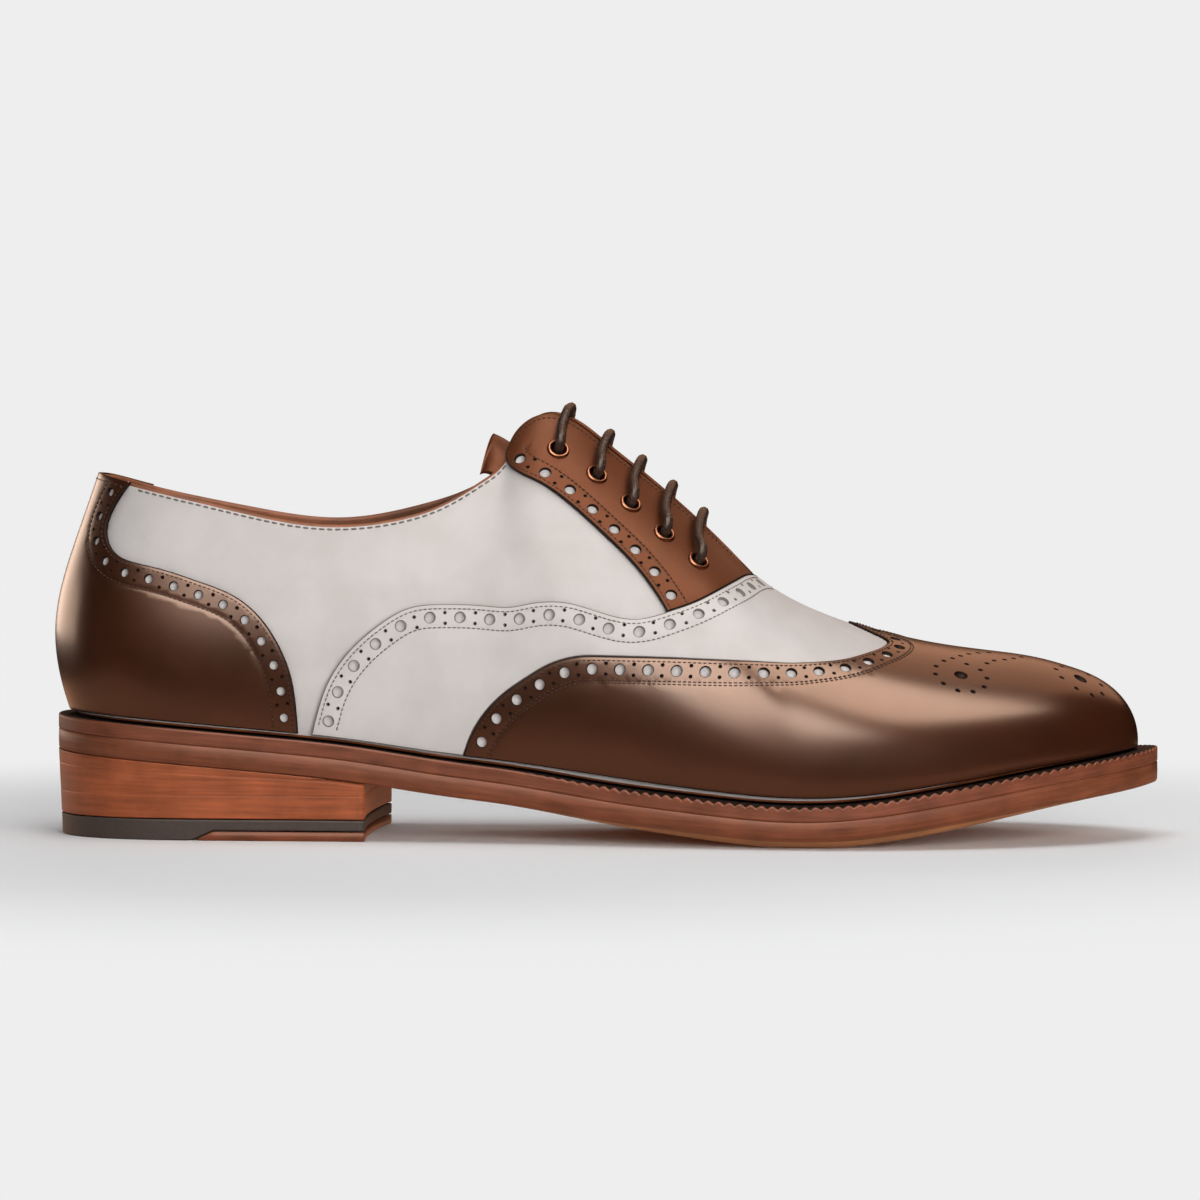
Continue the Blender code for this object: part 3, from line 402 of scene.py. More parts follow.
def last_normal(station, girth):
    """The outward direction of the base surface. On the closed ridge both sides share one."""
    small = 0.004
    station, girth = np.broadcast_arrays(np.asarray(station, float), np.asarray(girth, float))
    inside = np.clip(girth, 0.001, 0.992)

    def out_at(s):
        along = last_form(s + small, inside) - last_form(s - small, inside)
        rise = last_form(s, inside + small) - last_form(s, inside - small)
        out = np.cross(along, rise)
        return out / np.linalg.norm(out, axis=-1, keepdims=True)

    out = out_at(station)
    ridge = on_ridge(station, girth)
    if ridge.any():
        shared = out + out_at(LOOP - station)
        shared /= np.maximum(np.linalg.norm(shared, axis=-1, keepdims=True), 1e-9)
        out = np.where(ridge[..., None], shared, out)
    return out


def on_ridge(station, girth):
    """Whether a place lies on the closed ridge from the throat to the toe."""
    return (np.asarray(girth) > 1 - 1e-6) & (side_station(station) >= THROAT_STATION - 1e-6)


def lifted(places, lift):
    """Points of the base surface raised outwards."""
    s, g = places[..., 0], places[..., 1]
    return last_form(s, g) + last_normal(s, g) * np.reshape(lift, (-1, 1))


def surface_steps(places):
    """The surface's directions along station and along girth, per unit of each."""
    step = 1e-4
    s = places[:, 0]
    g = np.clip(places[:, 1], 0.01, 0.98)
    along_s = (last_form(s + step, g) - last_form(s - step, g)) / (2 * step)
    along_g = (last_form(s, g + step) - last_form(s, g - step)) / (2 * step)
    return along_s, along_g


def nudge(places, moves):
    """The places moved by these vectors laid on the surface."""
    target = last_form(places[:, 0], places[:, 1]) + moves
    for _ in range(3):
        left = target - last_form(places[:, 0], places[:, 1])
        along_s, along_g = surface_steps(places)
        a = (along_s * along_s).sum(1)
        b = (along_s * along_g).sum(1)
        c = (along_g * along_g).sum(1)
        p = (along_s * left).sum(1)
        q = (along_g * left).sum(1)
        det = a * c - b * b
        places = places + np.stack([(c * p - b * q) / det, (a * q - b * p) / det], 1)
    return places


def unit(vectors):
    """The vectors brought to a length of one."""
    return vectors / np.maximum(np.linalg.norm(vectors, axis=-1, keepdims=True), 1e-12)


def side_of(line):
    """The direction to the left of a line of places, laid on the surface."""
    run = np.gradient(last_form(*line.T), axis=0)
    return unit(np.cross(last_normal(*line.T), run))


def shift_line(line, distance):
    """The line moved sideways over the surface, to the left of its direction for a positive distance."""
    return nudge(line, side_of(line) * distance)


def smooth_line(rows, spacing):
    """A line of places drawn as a smooth curve, with points about this far apart."""
    rows = np.array(rows, float)
    places = last_form(rows[:, 0], rows[:, 1])
    run = run_lengths(places)
    count = max(int(round(run[-1] / spacing)), 4)
    return spline(run, rows)(np.linspace(0, run[-1], count + 1))


def between(line, low, high):
    """The line with its two ends brought onto these girths."""
    line = line[(line[:, 1] > low + 0.002) & (line[:, 1] < high - 0.002)]
    first = line[0] + (line[0] - line[1]) * (line[0, 1] - low) / max(line[1, 1] - line[0, 1], 1e-6)
    last = line[-1] + (line[-1] - line[-2]) * (high - line[-1, 1]) / max(line[-1, 1] - line[-2, 1], 1e-6)
    return np.concatenate([[(first[0], low)], line, [(last[0], high)]])


def mirrored(line):
    """The same line on the inner side, run the other way."""
    return np.stack([LOOP - line[::-1, 0], line[::-1, 1]], 1)


def past_seam(line):
    """The same as mirrored, with stations below 0, for an outline that runs across the back seam."""
    return line[::-1] * (-1, 1)


def both_sides(count):
    """Stations round the whole sole, this many on the outer side and their mirror images."""
    stations = np.linspace(0, TOE, count)
    return np.concatenate([stations, LOOP - stations[-2:0:-1]])


def run_at(girth, first, last, spacing):
    """Places along one girth from one station to the other."""
    stations = np.linspace(first, last, 200)
    points = last_form(stations, girth)
    run = run_lengths(points)
    count = max(int(round(run[-1] / spacing)), 2)
    stations = np.interp(np.linspace(0, run[-1], count + 1), run, stations)
    return np.stack([stations, np.full(count + 1, float(girth))], 1)


def walk(line, pitch, margin=0.5):
    """Places at an even pitch along a line, with the margin, as a share of a pitch, left at each end."""
    points = last_form(line[:, 0], line[:, 1])
    run = run_lengths(points)
    count = max(int(round(run[-1] / pitch - 2 * margin)), 1)
    at = (np.arange(count + 1) + margin) / (count + 2 * margin) * run[-1]
    return np.stack([np.interp(at, run, line[:, 0]), np.interp(at, run, line[:, 1])], 1)


def turned(angles, across, up):
    """Directions at these angles from one axis towards another."""
    return np.cos(angles)[:, None] * across + np.sin(angles)[:, None] * up


def ring_about(place, radius, count):
    """A round ring of places about one place, counterclockwise seen from outside."""
    angles = np.arange(count) * 2 * np.pi / count
    centre = np.repeat(np.array(place, float)[None], count, 0)
    along = unit(surface_steps(centre)[0])
    up = np.cross(last_normal(centre[:, 0], centre[:, 1]), along)
    return nudge(centre, turned(angles, along, up) * radius)


def linear(hex_value):
    """An sRGB hex colour as the linear numbers that shaders take."""
    found = []
    for shift in (16, 8, 0):
        c = ((hex_value >> shift) & 255) / 255
        found.append(c / 12.92 if c <= 0.04045 else ((c + 0.055) / 1.055) ** 2.4)
    return tuple(found)


def measure(name, description, default):
    """A length in metres for the sidebar."""
    return FloatProperty(name=name, description=description, default=default, unit="LENGTH")


class ShoeSizes(bpy.types.PropertyGroup):
    hole: measure("Punched hole", "Diameter of a large brogue hole", 2.9 * MM)
    pinhole: measure("Pinhole", "Diameter of a small brogue hole", 0.95 * MM)
    hole_depth: measure("Hole depth", "From the leather's face to the underlay", 1.0 * MM)
    stitch: measure("Stitch", "Pitch of the fine stitching", 1.35 * MM)
    thread: measure("Thread", "Thickness of the sewing thread", 0.34 * MM)
    lace: measure("Lace", "Diameter of the round waxed lace", 2.8 * MM)
    welt_pitch: measure("Welt stitch", "Pitch of the stitches on the welt", 2.9 * MM)
    grid: measure("Mesh grid", "Spacing of the points in a leather's face", 1.7 * MM)
    eyelet_steps: IntProperty(name="Eyelet steps", description="Segments round an eyelet", default=32)


def colour(name, description, hex_value):
    """A colour for the sidebar, typed as sRGB hex and kept as linear numbers."""
    return FloatVectorProperty(
        name=name, description=description, size=3, subtype="COLOR", min=0, max=1, default=linear(hex_value)
    )


class ShoeColours(bpy.types.PropertyGroup):
    white: colour("White calf", "Off-white quarters and vamp", 0xCCC6C3)
    white_shade: colour("White calf shade", "Faint marbling of the white calf", 0xC4BEBA)
    brown: colour("Brown calf", "Chestnut calf where it is lightest", 0x38190B)
    brown_plain: colour("Plain calf", "Chestnut calf of the facings, less burnished", 0x4E2612)
    brown_dark: colour("Burnish", "Chestnut calf where it is burnished", 0x2E1408)
    # Also the near-black painted shade at the floors of the small holes and the rosette centres, and in the
    # welt's crevice.
    edge: colour("Edge ink", "Cut edges of the brown calf", 0x1A0C07)
    raw_edge: colour("Raw edge", "Cut edge of the white calf", 0x7A716B)
    lining: colour("Lining", "Tan lining and sock", 0x8A4E2C)
    thread_dark: colour("Brown thread", "Thread in the brown calf", 0x2E170D)
    thread_light: colour("White thread", "Thread in the white calf", 0x66605B)
    welt: colour("Welt", "Dressed welt", 0x743E28)
    sole: colour("Sole edge", "Dressed edge of the sole", 0x753F26)
    tread: colour("Tread", "Underside of the sole", 0xA9764C)
    heel: colour("Heel lifts", "Dressed side of the heel", 0x9C502C)
    rubber: colour("Heel rubber", "Rubber top piece", 0x3A3432)
    lace: colour("Lace", "Waxed cotton", 0x241914)
    eyelet: colour("Eyelets", "Enamelled brass", 0x94684F)
    paper: colour("Paper", "Floor and backdrop", 0xEEEEEE)


# About how far one station and one girth reach over the leather, so that outlines are filled near true shape
SPREAD = np.array([20.0, 70.0]) * MM


def inside_outline(outline, points, margin):
    """Which points lie inside the closed outline, at least the margin from it."""
    inside = np.zeros(len(points), bool)
    near = np.full(len(points), 1e9)
    for a, b in zip(outline, np.roll(outline, -1, axis=0)):
        crossing = (a[1] > points[:, 1]) != (b[1] > points[:, 1])
        if a[1] != b[1]:
            reach = (b[0] - a[0]) * (points[:, 1] - a[1]) / (b[1] - a[1]) + a[0]
            inside ^= crossing & (points[:, 0] < reach)
        edge = b - a
        share = np.clip(((points - a) @ edge) / max(edge @ edge, 1e-18), 0, 1)
        near = np.minimum(near, np.linalg.norm(points - a - share[:, None] * edge, axis=1))
    return inside, near > margin


def fill(outline, rings, ridges, spacing):
    """Triangles that fill an outline of places round some rings.

    Ridges are lines of places that get points of their own, each with a height of its own. Returns the
    places, their heights, the triangles, and the number of the first point of each loop.
    """
    low, high = outline.min(0), outline.max(0)
    steps = spacing / SPREAD
    ranges = (np.arange(low[i] + steps[i] / 2, high[i], steps[i]) for i in (0, 1))
    s, g = np.meshgrid(*ranges, indexing="ij")
    grid = np.stack([s.ravel(), g.ravel()], 1)
    keep = np.ones(len(grid), bool)
    for line, _ in ridges:
        for place in line:
            keep &= np.linalg.norm((grid - place) * SPREAD, axis=1) > 0.45 * spacing
    grid = np.concatenate([grid[keep]] + [line for line, _ in ridges])
    heights = [np.zeros(keep.sum())] + [np.full(len(line), height) for line, height in ridges]
    heights = np.concatenate(heights)
    inside, clear = inside_outline(outline * SPREAD, grid * SPREAD, 0.4 * spacing)
    keep = inside & clear
    for ring in rings:
        near = np.abs(grid - ring.mean(0)).max(1) < np.ptp(ring, axis=0).max() + 4 * steps.max()
        if near.any():
            inside, clear = inside_outline(ring * SPREAD, grid[near] * SPREAD, 0.22 * spacing)
            keep[near] &= ~inside & clear
    grid = grid[keep]
    heights = heights[keep]
    loops = [outline] + rings
    starts = np.cumsum([0] + [len(loop) for loop in loops])
    corners = np.concatenate(loops + [grid]) * SPREAD / MM
    edges = []
    owner = np.full(len(corners), -1)
    for k, loop in enumerate(loops):
        count = len(loop)
        owner[starts[k] : starts[k + 1]] = k
        edges += [(starts[k] + i, starts[k] + (i + 1) % count) for i in range(count)]
    outer = [list(range(len(outline)))]
    found = geometry.delaunay_2d_cdt([Vector(p) for p in corners.tolist()], edges, outer, 1, 1e-5)
    source = np.array([o[0] if o else -1 for o in found[3]])
    if (source < 0).any() or len(source) != len(corners):
        raise RuntimeError("an outline crosses itself")
    faces = source[np.array(found[2], int)]
    owners = owner[faces]
    hole = (owners[:, 0] > 0) & (owners[:, 0] == owners[:, 1]) & (owners[:, 0] == owners[:, 2])
    faces = faces[~hole]
    a, b, c = (corners[faces[:, i]] for i in range(3))
    area = (b[:, 0] - a[:, 0]) * (c[:, 1] - a[:, 1]) - (c[:, 0] - a[:, 0]) * (b[:, 1] - a[:, 1])
    faces = faces[area > 1e-6]
    heights = np.concatenate([np.zeros(starts[-1]), heights])
    return corners * MM / SPREAD, heights, faces, starts


class Shell:
    """Points and faces gathered for one mesh, each face with the number of its finish."""

    def __init__(self):
        self.points = []
        self.faces = []
        self.kinds = []
        self.count = 0

    def add_points(self, points):
        """Adds points and returns the number of the first."""
        first = self.count
        self.points.append(np.asarray(points, float).reshape(-1, 3))
        self.count += len(self.points[-1])
        return first

    def add_faces(self, faces, kind):
        self.faces += [tuple(int(i) for i in face) for face in faces]
        self.kinds += [kind] * len(faces)

    def strip(self, low, high, kind):
        """Quads between two closed loops of point numbers."""
        count = len(low)
        nexts = np.roll(np.arange(count), -1)
        self.add_faces(np.stack([low, low[nexts], high[nexts], high], 1), kind)

    def cap_ends(self, index):
        """Closes the first and the last row of a grid of point numbers."""
        self.add_faces([tuple(index[0][::-1]), tuple(index[-1])], 0)

    def make(self, name, finishes, weld=0.0, body="root"):
        """The mesh object, smooth shaded, welded within a distance if one is given."""
        mesh = bpy.data.meshes.new(name)
        mesh.from_pydata(np.concatenate(self.points).tolist(), [], self.faces)
        for material in finishes:
            mesh.materials.append(material)
        mesh.polygons.foreach_set("material_index", self.kinds)
        if weld:
            built = bmesh.new()
            built.from_mesh(mesh)
            bmesh.ops.remove_doubles(built, verts=built.verts, dist=weld)
            bmesh.ops.dissolve_degenerate(built, edges=built.edges, dist=weld / 4)
            loose = [v for v in built.verts if not v.link_faces]
            bmesh.ops.delete(built, geom=loose, context="VERTS")
            built.to_mesh(mesh)
            built.free()
        mesh.shade_smooth()
        made = bpy.data.objects.new(name, mesh)
        bpy.context.scene.collection.objects.link(made)
        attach(made, body)
        return made


def into_leather(outline):
    """The direction into the leather at each point of an outline, which of its edges only meet their mirror
    image, which points lie on a cut edge, and the outward direction.
    """
    closed = on_ridge(outline[:, 0], outline[:, 1])
    tip = np.abs(np.abs(outline[:, 0]) - TOE) < 1e-6
    after = np.roll(np.arange(len(outline)), -1)
    before = np.roll(np.arange(len(outline)), 1)
    welded = (closed & closed[after]) | (tip & tip[after]) | ((closed | tip) & (closed | tip)[after])
    points = last_form(outline[:, 0], outline[:, 1])
    out = last_normal(outline[:, 0], outline[:, 1])
    ahead = unit(points[after] - points)
    behind = unit(points - points[before])
    cut_ahead = ~welded
    cut_behind = ~welded[before]
    run = ahead * cut_ahead[:, None] + behind * cut_behind[:, None]
    into = unit(np.cross(out, run))
    corner = cut_ahead & cut_behind
    spread = np.where(corner, np.clip(np.linalg.norm(run, axis=1) / 2, 0.5, 1), 1)
    into /= spread[:, None]
    joint = (closed | tip) & (cut_ahead != cut_behind)
    for i in np.nonzero(joint)[0]:
        other = points[after[i]] if welded[i] else points[before[i]]
        into[i] = unit(other - points[i])
    return into, welded, cut_ahead | cut_behind, out


def round_profile(radius, low, high, both):
    """Rows of a cut edge from the face down: the way in from the edge, and the height."""
    angles = np.radians((22.5, 45, 67.5, 90))
    rows = [(radius * (1 - np.sin(a)), high - radius * (1 - np.cos(a))) for a in angles]
    if both:
        rows += [(radius * (1 - np.sin(a)), low + radius * (1 - np.cos(a))) for a in angles[::-1]]
    else:
        rows.append((0, low))
    return rows


def leather(name, panels, low, high, finishes, radius, both=False, top=1):
    """A piece of leather over the last, closed all round, with rounded cut edges.

    Each panel gives its outline, its holes and its ridges. A hole gives its ring of places, its depth, or
    None where it goes through, and the number of its floor's finish. Finishes are those of the face, the
    cut edge, the back, the underlay in the large holes and the near-black painted shade at the floor of
    the small ones. The top line's own cut edge has the finish numbered by top.
    """
    sizes = bpy.context.scene.shoe_sizes
    shell = Shell()
    for outline, holes, ridges in panels:
        into, welded, cut, out = into_leather(outline)
        inner = nudge(outline, into * (radius * cut)[:, None])
        inner[:, 1] = np.where(on_ridge(*outline.T) & cut, 1, inner[:, 1])
        inner[:, 0] = np.where(np.abs(np.abs(outline[:, 0]) - TOE) < 1e-6, outline[:, 0], inner[:, 0])
        inner = np.where(cut[:, None], inner, outline)
        rings = [ring for ring, _, _ in holes]
        places, heights, faces, starts = fill(inner, rings, ridges, sizes.grid)
        face = shell.add_points(lifted(places, high + heights))
        shell.add_faces(faces + face, 0)
        through = [ring for ring, depth, _ in holes if depth is None]
        places, _, faces, backs = fill(inner, through, [], 1.6 * sizes.grid)
        back = shell.add_points(lifted(places, low))
        shell.add_faces(faces[:, ::-1] + back, 2)

        count = len(outline)
        base = last_form(*outline.T)
        loops = [face + np.arange(count)]
        for inset, height in round_profile(radius, low, high, both):
            row = base + into * inset + out * height
            row = np.where(cut[:, None], row, base + out * np.clip(height, low, high))
            loops.append(shell.add_points(row) + np.arange(count))
        loops.append(back + np.arange(count))
        after = np.roll(np.arange(count), -1)
        for upper, lower in zip(loops, loops[1:]):
            quads = np.stack([lower, lower[after], upper[after], upper], 1)
            at_top = (outline[:, 1] > 0.999) & (outline[after, 1] > 0.999)
            shell.add_faces(quads[~welded & ~at_top], 1)
            shell.add_faces(quads[~welded & at_top], top)
        for k, (ring, depth, floor) in enumerate(holes):
            centre = last_form(*ring.T)
            away = last_normal(*ring.T)
            middle = centre.mean(0)
            bottom = low if depth is None else high - depth
            rim = HOLE_RIM
            upper = face + starts[k + 1] + np.arange(len(ring))
            inwards = unit(middle - centre)
            for step, drop in ((0.3 * rim, 0), (0.75 * rim, 0.25 * rim), (rim, rim), (rim, high - bottom)):
                row = centre + inwards * step + away * (high - drop)
                lower = shell.add_points(row) + np.arange(len(ring))
                shell.strip(upper, lower, 1)
                upper = lower
            if depth is None:
                index = [i for i, other in enumerate(through) if other is ring][0]
                shell.strip(upper, back + backs[index + 1] + np.arange(len(ring)), 1)
            else:
                shell.add_faces([tuple(upper)], floor)
    return shell.make(name, finishes, weld=0.012 * MM)


def punch(line, offset, pitch, size=1.0):
    """Large holes along a line, shifted into the leather, with pairs of pinholes between them."""
    sizes = bpy.context.scene.shoe_sizes
    aside_mm, pin_depth, pin_steps = 1.45, 0.6 * MM, 8
    lowest, highest = 0.035, 0.99
    spots = walk(trimmed(shift_line(line, offset), 0.02, 0.995), pitch)
    radius = size * sizes.hole / 2 + HOLE_RIM
    holes = [(ring_about(spot, radius, HOLE_STEPS), sizes.hole_depth, 3) for spot in spots]
    middles = 0.5 * (spots[1:] + spots[:-1])
    across = side_of(spots)[:-1] + side_of(spots)[1:]
    radius = sizes.pinhole / 2 + 0.5 * HOLE_RIM
    for side in (-1, 1):
        pins = nudge(middles, unit(across) * side * aside_mm * MM)
        # Each pinhole stops on a floor of finish 4, a near-black painted shade.
        holes += [(ring_about(pin, radius, pin_steps), pin_depth, 4) for pin in pins]
    return [hole for hole in holes if hole[0][:, 1].max() < highest and hole[0][:, 1].min() > lowest]


def flip(holes):
    """The same holes on the inner side."""
    return [(mirrored(ring), *rest) for ring, *rest in holes]


def flip_past_seam(holes):
    """The same holes on the inner side, at stations below 0."""
    return [(past_seam(ring), *rest) for ring, *rest in holes]


def seam_ridges(line, depth):
    """A shallow groove under a row of stitches: its own line pressed in, with flat lines beside it."""
    width, spacing = 0.55 * MM, 1.3 * MM
    rows = [(walk(line, spacing), -depth)]
    rows += [(walk(shift_line(line, side * width), spacing), 0.0) for side in (-1, 1)]
    return rows


def flip_ridges(ridges):
    """The same ridges on the inner side."""
    return [(mirrored(line), height) for line, height in ridges]


def trimmed(line, low=0.03, high=0.99):
    """The part of a line between two girths."""
    return line[(line[:, 1] > low) & (line[:, 1] < high)]


def closed_outline(*runs):
    """Runs of places joined end to end, with the shared ends kept once and none crowding them."""
    clear, apart = 0.8 * MM, 0.3 * MM
    thinned = []
    for run in runs:
        ends = np.minimum(*(np.linalg.norm((run - run[i]) * SPREAD, axis=1) for i in (0, -1)))
        ends[[0, -1]] = clear
        thinned.append(run[ends >= clear])
    points = np.concatenate(thinned)
    kept = [points[0]]
    for point in points[1:]:
        if np.linalg.norm((point - kept[-1]) * SPREAD) > apart:
            kept.append(point)
    while np.linalg.norm((kept[0] - kept[-1]) * SPREAD) < apart:
        kept.pop()
    return np.array(kept)


def add_node(tree, kind, settings=None, **inputs):
    """Adds a shader node with its settings. An input takes a value, or another node's output.

    An input is named with _ for a space, or is i and its number where names repeat.
    """
    made = tree.nodes.new(kind)
    for name, value in (settings or {}).items():
        setattr(made, name, value)
    for name, value in inputs.items():
        index = int(name[1:]) if name[0] == "i" and name[1:].isdigit() else name.replace("_", " ")
        socket = made.inputs[index]
        if isinstance(value, bpy.types.NodeSocket):
            tree.links.new(value, socket)
        else:
            socket.default_value = value
    return made


def new_finish(name, **constants):
    """A material with its Principled shader's constants set, its node tree and its shader."""
    made = bpy.data.materials.new(name)
    made.use_nodes = True
    shader = made.node_tree.nodes["Principled BSDF"]
    for socket, value in constants.items():
        shader.inputs[socket.replace("_", " ")].default_value = value
    return made, made.node_tree, shader


def ramp(tree, factor, low, high, low_at=0.3, high_at=0.7):
    """Two colours blended as a factor rises from one value to the other."""
    made = add_node(tree, "ShaderNodeValToRGB", Fac=factor)
    made.color_ramp.elements[0].position = low_at
    made.color_ramp.elements[1].position = high_at
    made.color_ramp.elements[0].color = (*low, 1)
    made.color_ramp.elements[1].color = (*high, 1)
    return made.outputs["Color"]


def spot(tree, scale_mm, detail=2.0, stretch=(1, 1, 1), uv=False):
    """A soft noise whose blotches are about this many millimetres across."""
    coordinates = add_node(tree, "ShaderNodeTexCoord").outputs["UV" if uv else "Object"]
    mapped = add_node(tree, "ShaderNodeMapping", Vector=coordinates, Scale=stretch)
    noise = add_node(
        tree, "ShaderNodeTexNoise", Vector=mapped.outputs[0], Scale=1 / (scale_mm * MM), Detail=detail
    )
    return noise.outputs["Fac"]


def grain(tree, scale_mm):
    """Leather grain: small cells, about this many millimetres across."""
    coordinates = add_node(tree, "ShaderNodeTexCoord").outputs["Object"]
    cells = add_node(tree, "ShaderNodeTexVoronoi", Vector=coordinates, Scale=1 / (scale_mm * MM))
    return cells.outputs["Distance"]


def raise_surface(tree, shader, height, strength, distance_mm):
    """Relief in the shader's normal, as deep as this where the height is 1."""
    bump = add_node(tree, "ShaderNodeBump", Height=height, Strength=strength, Distance=distance_mm * MM)
    tree.links.new(bump.outputs[0], shader.inputs["Normal"])


def vary_roughness(tree, shader, factor, low, high):
    """Roughness that drifts between two values as a factor goes from 0 to 1."""
    gloss = add_node(tree, "ShaderNodeMapRange", Value=factor, To_Min=low, To_Max=high)
    tree.links.new(gloss.outputs[0], shader.inputs["Roughness"])


def calf(
    name, light, dark, blotch_mm, roughness, coat, coat_roughness, grain_strength, sheen=(1, 1, 1), level=0.5
):
    """Smooth full-grain calf: fine pores, slow drifts of colour, and a wax finish over it."""
    made, tree, shader = new_finish(
        name, Specular_IOR_Level=level, Specular_Tint=(*sheen, 1), Coat_Weight=coat,
        Coat_Roughness=coat_roughness, Coat_IOR=1.6,
    )
    colours = ramp(tree, spot(tree, blotch_mm, 4.0), dark, light, 0.36, 0.62)
    tree.links.new(colours, shader.inputs["Base Color"])
    vary_roughness(tree, shader, spot(tree, 5.0, 3.0), roughness - 0.05, roughness + 0.07)
    raise_surface(tree, shader, grain(tree, 0.9), grain_strength, 0.12)
    return made


def white_calf():
    """Pigmented off-white calf: satin and almost grainless, faintly marbled."""
    c = bpy.context.scene.shoe_colours
    return calf(
        "white_calf_satin", c.white, c.white_shade, blotch_mm=14.0, roughness=0.5, coat=0.03,
        coat_roughness=0.35, grain_strength=0.1, level=0.15,
    )


def brown_calf():
    """Aniline-dyed box calf, burnished and wax polished: deep colour under a clear soft gloss."""
    c = bpy.context.scene.shoe_colours
    return calf(
        "brown_calf_polished", c.brown, c.brown_dark, blotch_mm=30.0, roughness=0.3, coat=1.0,
        coat_roughness=0.25, grain_strength=0.08, sheen=(1, 0.62, 0.4),
    )


def plain_calf():
    """The same chestnut calf left plain on facings and tongue: flatter, with a low sheen."""
    c = bpy.context.scene.shoe_colours
    dark = tuple(0.8 * v for v in c.brown_plain)
    return calf(
        "brown_calf_plain", c.brown_plain, dark, blotch_mm=30.0, roughness=0.42, coat=0.05,
        coat_roughness=0.35, grain_strength=0.12, sheen=(1, 0.5, 0.3),
    )


def underlay_calf():
    """The white underlay seen in the large punched holes: matt, a touch darker than the white calf as painted
    shade down in the hole.
    """
    shade = (0.95 * v for v in bpy.context.scene.shoe_colours.white)
    return new_finish("white_calf_underlay", Base_Color=(*shade, 1), Roughness=0.7)[0]


def edge_ink_and_painted_shade():
    """Cut calf edge, inked: nearly black, with next to no shine. The same near-black is the painted shade
    at the floors of the small holes and the rosette centres, and in the welt's crevice.
    """
    shade = (*bpy.context.scene.shoe_colours.edge, 1)
    return new_finish("inked_edge_and_painted_shade", Base_Color=shade, Roughness=0.65, Specular_IOR_Level=0.2)[0]


def raw_edge():
    """Cut edge of the white calf, left raw: grey brown, dry and matt."""
    shade = (*bpy.context.scene.shoe_colours.raw_edge, 1)
    return new_finish("raw_calf_edge", Base_Color=shade, Roughness=0.8)[0]


def lining_calf():
    """Vegetable-tanned lining calf, unfinished: tan, dry, with visible pores."""
    c = bpy.context.scene.shoe_colours
    dark = tuple(0.6 * v for v in c.lining)
    return calf(
        "tan_lining_calf", c.lining, dark, blotch_mm=9.0, roughness=0.6, coat=0.0,
        coat_roughness=0.5, grain_strength=0.3,
    )


def thread(name, shade):
    """Waxed linen thread, plied: its turns catch small lines of light."""
    made, tree, shader = new_finish(name, Base_Color=(*shade, 1), Roughness=0.48)
    raise_surface(tree, shader, spot(tree, 0.3, 1.0), 0.4, 0.05)
    return made


def dressed_edge(name, shade, streak_mm, roughness=0.45, coat=0.15):
    """Sole leather, sanded, stained and waxed on its edge: fibres show as long streaks along it."""
    made, tree, shader = new_finish(name, Specular_IOR_Level=0.3, Coat_Weight=coat, Coat_Roughness=0.3)
    streaks = spot(tree, streak_mm, 5.0, (0.06, 1, 1), uv=True)
    blotches = spot(tree, 9.0, 4.0)
    both = add_node(tree, "ShaderNodeMix", {"data_type": "FLOAT"}, Factor=0.45, i2=streaks, i3=blotches)
    dark = tuple(0.55 * v for v in shade)
    light = tuple(min(1.25 * v, 1) for v in shade)
    tree.links.new(ramp(tree, both.outputs[0], dark, light, 0.33, 0.66), shader.inputs["Base Color"])
    vary_roughness(tree, shader, blotches, roughness - 0.06, roughness + 0.1)
    raise_surface(tree, shader, streaks, 0.25, 0.15)
    return made


def moulded_rubber():
    """Moulded heel rubber: dark grey, matt, with a fine pitted skin."""
    c = bpy.context.scene.shoe_colours
    made, tree, shader = new_finish("moulded_heel_rubber", Roughness=0.62, IOR=1.52)
    dark = tuple(0.8 * v for v in c.rubber)
    tree.links.new(ramp(tree, spot(tree, 1.2, 3.0), dark, c.rubber), shader.inputs["Base Color"])
    raise_surface(tree, shader, spot(tree, 0.6, 2.0), 0.3, 0.08)
    return made


def enamelled_brass():
    """Pressed brass, lacquered copper brown: a metal under clear enamel, bright at its rolled rim."""
    c = bpy.context.scene.shoe_colours
    made, tree, shader = new_finish(
        "lacquered_brass", Metallic=1.0, Roughness=0.33, Coat_Weight=0.4, Coat_Roughness=0.15
    )
    worn = tuple(0.7 * v for v in c.eyelet)
    tree.links.new(ramp(tree, spot(tree, 1.0, 2.0), worn, c.eyelet), shader.inputs["Base Color"])
    return made


def waxed_cotton():
    """Braided cotton, waxed: dark, with small painted highlights, lighter flecks in its colour spread by
    noise.
    """
    c = bpy.context.scene.shoe_colours
    made, tree, shader = new_finish("waxed_braided_cotton", Roughness=0.42)
    # Painted highlights: flecks five times as light as the lace's own colour.
    light = tuple(min(5 * v, 1) for v in c.lace)
    tree.links.new(ramp(tree, spot(tree, 0.5, 2.0), c.lace, light, 0.45, 0.8), shader.inputs["Base Color"])
    raise_surface(tree, shader, spot(tree, 0.25, 1.0), 0.5, 0.08)
    return made


# Materials made so far, by the short names that finish takes
FINISHES = {}


